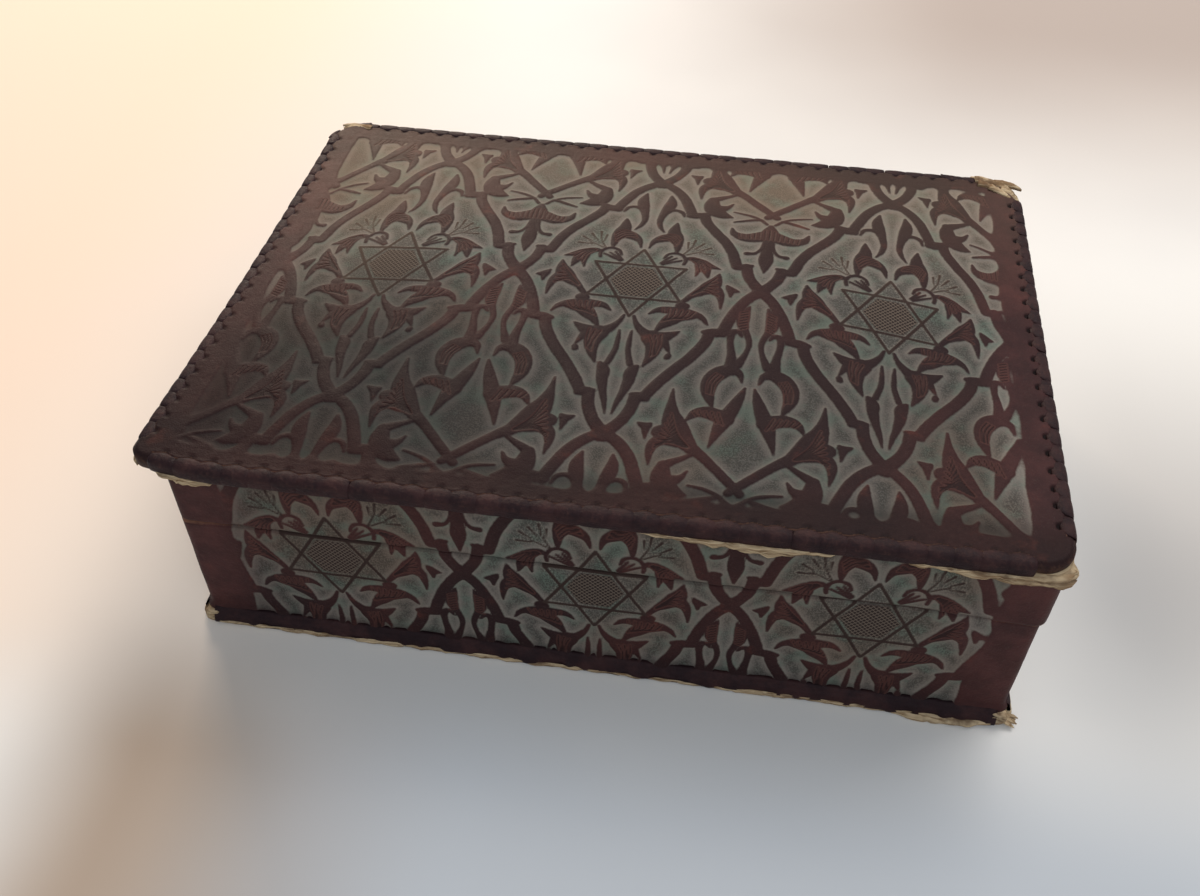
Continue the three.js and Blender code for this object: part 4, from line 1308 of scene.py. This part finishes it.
def leather_band(name, node, body, low, high, material, proud=0.0, flare=0.0):
    """A closed embossed band round the walls. proud pushes its right end out, flare its foot."""
    half = np.array((high[0], high[1]))
    places, outs, names, alongs = band_outline(half)
    count = len(places)
    low = low - (0, 0, flare)
    rows = round((high[2] - low[2]) / BAND_CELL) + 1
    z = np.linspace(low[2], high[2], rows)[:, None] * np.ones((1, count))
    across = np.tile(alongs * FRONT_STAR_SCALE, (rows, 1))
    border = np.full((rows, count), 9.0)
    for side, (before, after) in BAND_MARGIN.items():
        length = half[0] if SIDES[side][0][0] == 0 else half[1]
        chosen = names == side
        margin = np.minimum(alongs + length - before, length - after - alongs)
        border[:, chosen] = margin[chosen]
    border += 0.35 * value_noise(across, z, 6)
    sag = FRONT_SAG - (FRONT_SAG - RIGHT_SAG) * ease(0, 90, places[:, 0])
    sag = (sag * ease(-half[1] + 2, -half[1], places[:, 1]))[None, :] * np.ones_like(z)
    up = z - FRONT_STAR_HEIGHT + sag * 0.8 + 0.25 * value_noise(across, z, 30)
    height, facts = emboss(across + 0.3 * value_noise(across, z, 25, SEED + 2), up, border)
    height = np.where(border < 0, height * 0.55, height)
    height += 0.12 * value_noise(across, z, 12, SEED + 3)
    to_edge = np.minimum(z - low[2], high[2] - z)
    height -= 0.7 * ease(LIP, 0, to_edge) ** 2
    bulge = proud * ease(half[0] - 40, half[0], places[:, 0])
    reach = height + bulge[None, :] + flare * ease(FLARE_RUN, 0, z - low[2])
    x = places[None, :, 0] + outs[None, :, 0] * reach
    y = places[None, :, 1] + outs[None, :, 1] * reach
    from_fixed = (z - low[2]) / (high[2] - low[2])
    seam_share = 1 - from_fixed if proud else from_fixed
    z = z - sag * seam_share
    outer = np.stack([x, y, z], -1)
    inner_low = np.stack([places[:, 0] - outs[:, 0] * BAND_BACKING,
                          places[:, 1] - outs[:, 1] * BAND_BACKING, z[0]], -1)
    inner_high = inner_low.copy()
    inner_high[:, 2] = z[-1]
    to_seam = (1 - seam_share) * (high[2] - low[2])
    facts.update(band_marks(x, y, z, places[:, 0], half, to_edge, to_seam, flare))
    points = np.vstack([outer.reshape(-1, 3), inner_high, inner_low])
    faces = grid_faces(rows + 2, count, wrap=True).tolist()
    last = (rows + 1) * count
    turn = (np.arange(count) + 1) % count
    faces += np.stack([last + np.arange(count), last + turn, turn, np.arange(count)], -1).tolist()
    total = rows * count
    ends = np.concatenate([np.arange(total - count, total), np.arange(count)])
    facts = extended(facts, ends, {"raised_far": -4.0})
    piece = add_mesh(name, points, faces, material, facts)
    finish_piece(piece, body, node)


# Foot slab

BINDING_CLEAR = 6
FOOT_CORNERS = {"front_left": 5, "front_right": 6, "back_right": 5, "back_left": 5}


def foot_binding(side, material):
    """Worn leather folded round the foot's edge, lumpy, and torn along its upper and lower lips."""
    top = node_box(f"base_binding_{side}")[1][2]
    foot_half = np.array((node_box("base_binding_right")[1][0], node_box("base_binding_back")[1][1]))
    _, run, _, _ = SIDES[side]
    length = (foot_half[0] if run[0] else foot_half[1]) - BINDING_CLEAR
    steps = int(2 * length / 0.9)
    along = np.linspace(-length, length, steps)
    seed = 40 + len(side)
    worn = 0.35 + 1.0 * ease(55, 20, along) * (side == "front") + 0.5 * (side != "front")
    lump = 0.5 * edge_noise(along, 3, 6.8, seed)
    lump += 0.4 * edge_noise(along, 0, 2.6, seed)
    swell = 0.5 * edge_noise(along, 29, 4.1, seed)
    torn = 1.3 * np.maximum(0, edge_noise(along, 11, 9, seed) - 0.25) \
        + 0.35 * edge_noise(along, 17, 2.3, seed)
    hem = worn * (1 + 0.5 * edge_noise(along, 41, 5, seed))
    parts = Parts()
    rings, crest = [], []
    for index in range(steps):
        push, tear, bulge = lump[index] - 0.9, torn[index], swell[index]
        lift = hem[index]
        # The third value is each point's share of rubbed wear and painted highlight, most on the outer
        # bulge.
        section = [
            (-6.0, 0.02, 0), (-3.0, 0.02, 0), (-1.4 + push * .3, 0.05, .1), (-0.5 + push, lift, .2),
            (0.0 + push, 1.2 + lift, .4), (-0.2 + push, 2.6 + bulge * .5, .5),
            (-0.9 + push * .8, 3.9 + bulge * .5, .5), (-1.9 + push * .5, 4.9 + bulge, .4),
            (-3.0, top - 0.6 + bulge * .7, .3), (-3.95, top + 0.2 - tear * .6, .2),
            (-3.95, top - 0.9, 0), (-1.9, top - 1.7, 0), (-1.3, 3.2, 0), (-1.3, 1.2, 0),
            (-3, 0.78, 0), (-6, 0.78, 0),
        ]
        for outward, z, rub_and_highlight in section:
            x, y = side_place(side, along[index], outward, foot_half)
            rings.append((x, y, z))
            crest.append(rub_and_highlight)
    parts.add(rings, tube_faces(steps, len(section)), crest=crest)
    piece = parts.build(f"foot_binding_{side}", material)
    finish_piece(piece, "base", f"base_binding_{side}")


def foot_board(material):
    """The foot's layered board. Its lowest layer shows under the worn binding and at the corners."""
    low, high = node_box("base_board")
    parts = Parts()

    def straight(x, y):
        return x, y
    covered = high[:2] - 2.4
    layered_plate(parts, covered, FOOT_CORNERS, low[2] + 1.5, low[2] + 3.6, 2, 0.25, 31, straight)
    under_wall = body_high[:2] - 1.2
    layered_plate(parts, under_wall, FOOT_CORNERS, low[2] + 3.4, high[2] - 0.02, 3, 0.25, 33, straight)
    shown = high[:2] - 0.1
    layered_plate(parts, shown, FOOT_CORNERS, low[2] + 0.02, low[2] + 1.45, 2, 0.45, 32, straight)
    for index, (sx, sy) in enumerate(((-1, -1), (1, -1), (1, 1), (-1, 1))):
        for level in range(5):
            start = (sx * (high[0] - 7), sy * (high[1] - 6), low[2] + 1.0 + 0.8 * level)
            heading = math.degrees(math.atan2(sy * (0.7 + 0.25 * level), sx))
            turn = (25 - 12 * level) * sx * sy
            curled_strip(parts, start, heading, 7.5, 6.5, 1.0, turn, -0.3, 80 + 5 * index + level)
    for start, end, top in ((88, 121, 1.6), (98, 124, 2.3)):
        edge = high[:2] + 0.8
        torn_ply(parts, "front", start, end, top - 0.8, top, 4, 0.5, edge, 70 + start, 0.5, straight)
    tuft = (high[0] - 3.8, -high[1] + 3.8, 1.8)
    for index in range(12):
        heading = -72 + 10 * index
        fall = -0.4 * (index % 4)
        curled_strip(parts, tuft, heading, 5 + index % 3 * 0.6, 1.9, 0.9, 50 - 12 * index, fall, 90 + index)
    piece = parts.build("foot_layered_board", material)
    finish_piece(piece, "base", "base_board")


# Floor, light and background

FLOOR_SIZE = 6.0


def add_floor():
    """White paper, with painted light and shade that only the camera sees: a warm pool of light at the
    left, a dimmer far part, shade to the right of the box and the box's shadow in front.
    """
    paint = Paint("paper_floor", specular=0.12)
    mottle = paint.noise(0.004, 4)
    grain = paint.noise(0.3, 3)
    place = paint.add("ShaderNodeSeparateXYZ", {0: paint.spot()})
    drift = paint.around_zero(paint.noise(0.008, 2), 30)
    across = paint.plus(place.outputs[0], drift)
    back = paint.plus(place.outputs[1], drift)
    # Painted pool of warm light at the left.
    painted_warm_light = paint.times(paint.step(across, -280, -60, 1, 0), paint.step(back, -160, -95))
    # Painted shade over the far part.
    painted_far_shade = paint.times(paint.step(across, -120, 160), paint.step(back, 130, 380))
    # Painted shadow of the box in front of it, brown at its left edge and cool further right.
    near = paint.times(paint.step(across, -180, -125), paint.step(back, -140, -80, 1, 0))
    shade = paint.mix(paint.step(across, -130, -30), tone(172, 154, 138), tone(196, 199, 203))
    # Painted shade to the right of the box.
    side = paint.times(paint.step(across, 110, 190), paint.step(back, -60, 150, 1, 0))
    side = paint.times(side, paint.step(back, -150, 0))
    plain = paint.mix(paint.step(mottle, 0.3, 0.7), tone(236, 232, 226), tone(228, 225, 221))
    # Painted light and shade laid over the paper's own colour.
    color = paint.mix(painted_warm_light, plain, tone(244, 219, 197))
    color = paint.mix(painted_far_shade, color, tone(178, 165, 157))
    color = paint.mix(side, color, tone(178, 174, 171))
    color = paint.mix(near, color, shade)
    camera = paint.add("ShaderNodeLightPath").outputs["Is Camera Ray"]
    paint.done(paint.mix(camera, plain, color), 0.9, grain, 0.12, 0.2)
    size = FLOOR_SIZE / MM / 2
    corners = [(-size, -size, 0), (size, -size, 0), (size, size, 0), (-size, size, 0)]
    floor = add_mesh("floor", corners, [(0, 1, 2, 3)], paint.material, smooth=False)


def add_light(name, place, target, size, power, color):
    """A rectangular lamp at a place in metres, turned to a target."""
    data = bpy.data.lights.new(name, "AREA")
    data.shape = "RECTANGLE"
    data.size, data.size_y = size
    data.energy = power
    data.color = color
    light = bpy.data.objects.new(name, data)
    bpy.context.scene.collection.objects.link(light)
    light.location = place
    light.rotation_euler = (Vector(target) - Vector(place)).to_track_quat("-Z", "Y").to_euler()


def add_lights():
    """A warm lamp behind, a window above, the room in front, and the sky."""
    add_light("lamp", (-0.6, 1.3, 0.68), (-0.05, 0.05, 0), (0.6, 0.5), 15, (1.0, 0.83, 0.67))
    add_light("window", (0.5, 0.6, 1.35), (0, 0, 0), (1.1, 0.9), 14, (1.0, 0.98, 0.96))
    add_light("room", (0.3, -1.4, 1.3), (0, 0, 0), (1.6, 1.2), 10.5, (0.85, 0.92, 1.0))
    world = bpy.data.worlds.new("world")
    bpy.context.scene.world = world
    world.use_nodes = True
    world.node_tree.nodes["Background"].inputs["Color"].default_value = (0.9, 0.95, 1.0, 1)
    world.node_tree.nodes["Background"].inputs["Strength"].default_value = 0.36


def dress_cad_nodes(paints):
    """The nodes whose shape is right keep it, and take the detailed material of their slot."""
    slots = {row["node"]: row["material_slot"] for row in frame["record"]["subparts"]}
    for name, piece in frame["nodes"].items():
        piece.data.materials.clear()
        piece.data.materials.append(paints[slots[name]])


def build_scene():
    """Camera, floor and lights, then the pieces of the box."""
    bpy.context.scene.view_settings.view_transform = "Standard"
    paints = {
        "embossed_leather": embossed_leather(),
        "thong_leather": thong_leather(),
        "layered_board": layered_board(),
        "carcass_wood": carcass_wood(),
        "lining_cloth": lining_cloth(),
        "cover_paper": cover_paper(),
        "wadding": cotton_wadding(),
        "hinge_brass": hinge_brass(),
    }
    add_camera()
    add_floor()
    add_lights()
    dress_cad_nodes(paints)
    lid_leather(paints["embossed_leather"])
    lid_wadding(paints["wadding"])
    lid_boards(paints["layered_board"])
    for side in SIDES:
        lid_lacing(side, paints["thong_leather"])
        foot_binding(side, paints["thong_leather"])
    leather_band("lid_embossed_band", "lid_leather_band", "lid", band_low, band_high,
                 paints["embossed_leather"], PROUD_RIGHT)
    leather_band("base_embossed_band", "base_leather_band", "base", body_low, body_high,
                 paints["embossed_leather"], flare=FOOT_FLARE)
    foot_board(paints["layered_board"])


build_scene()
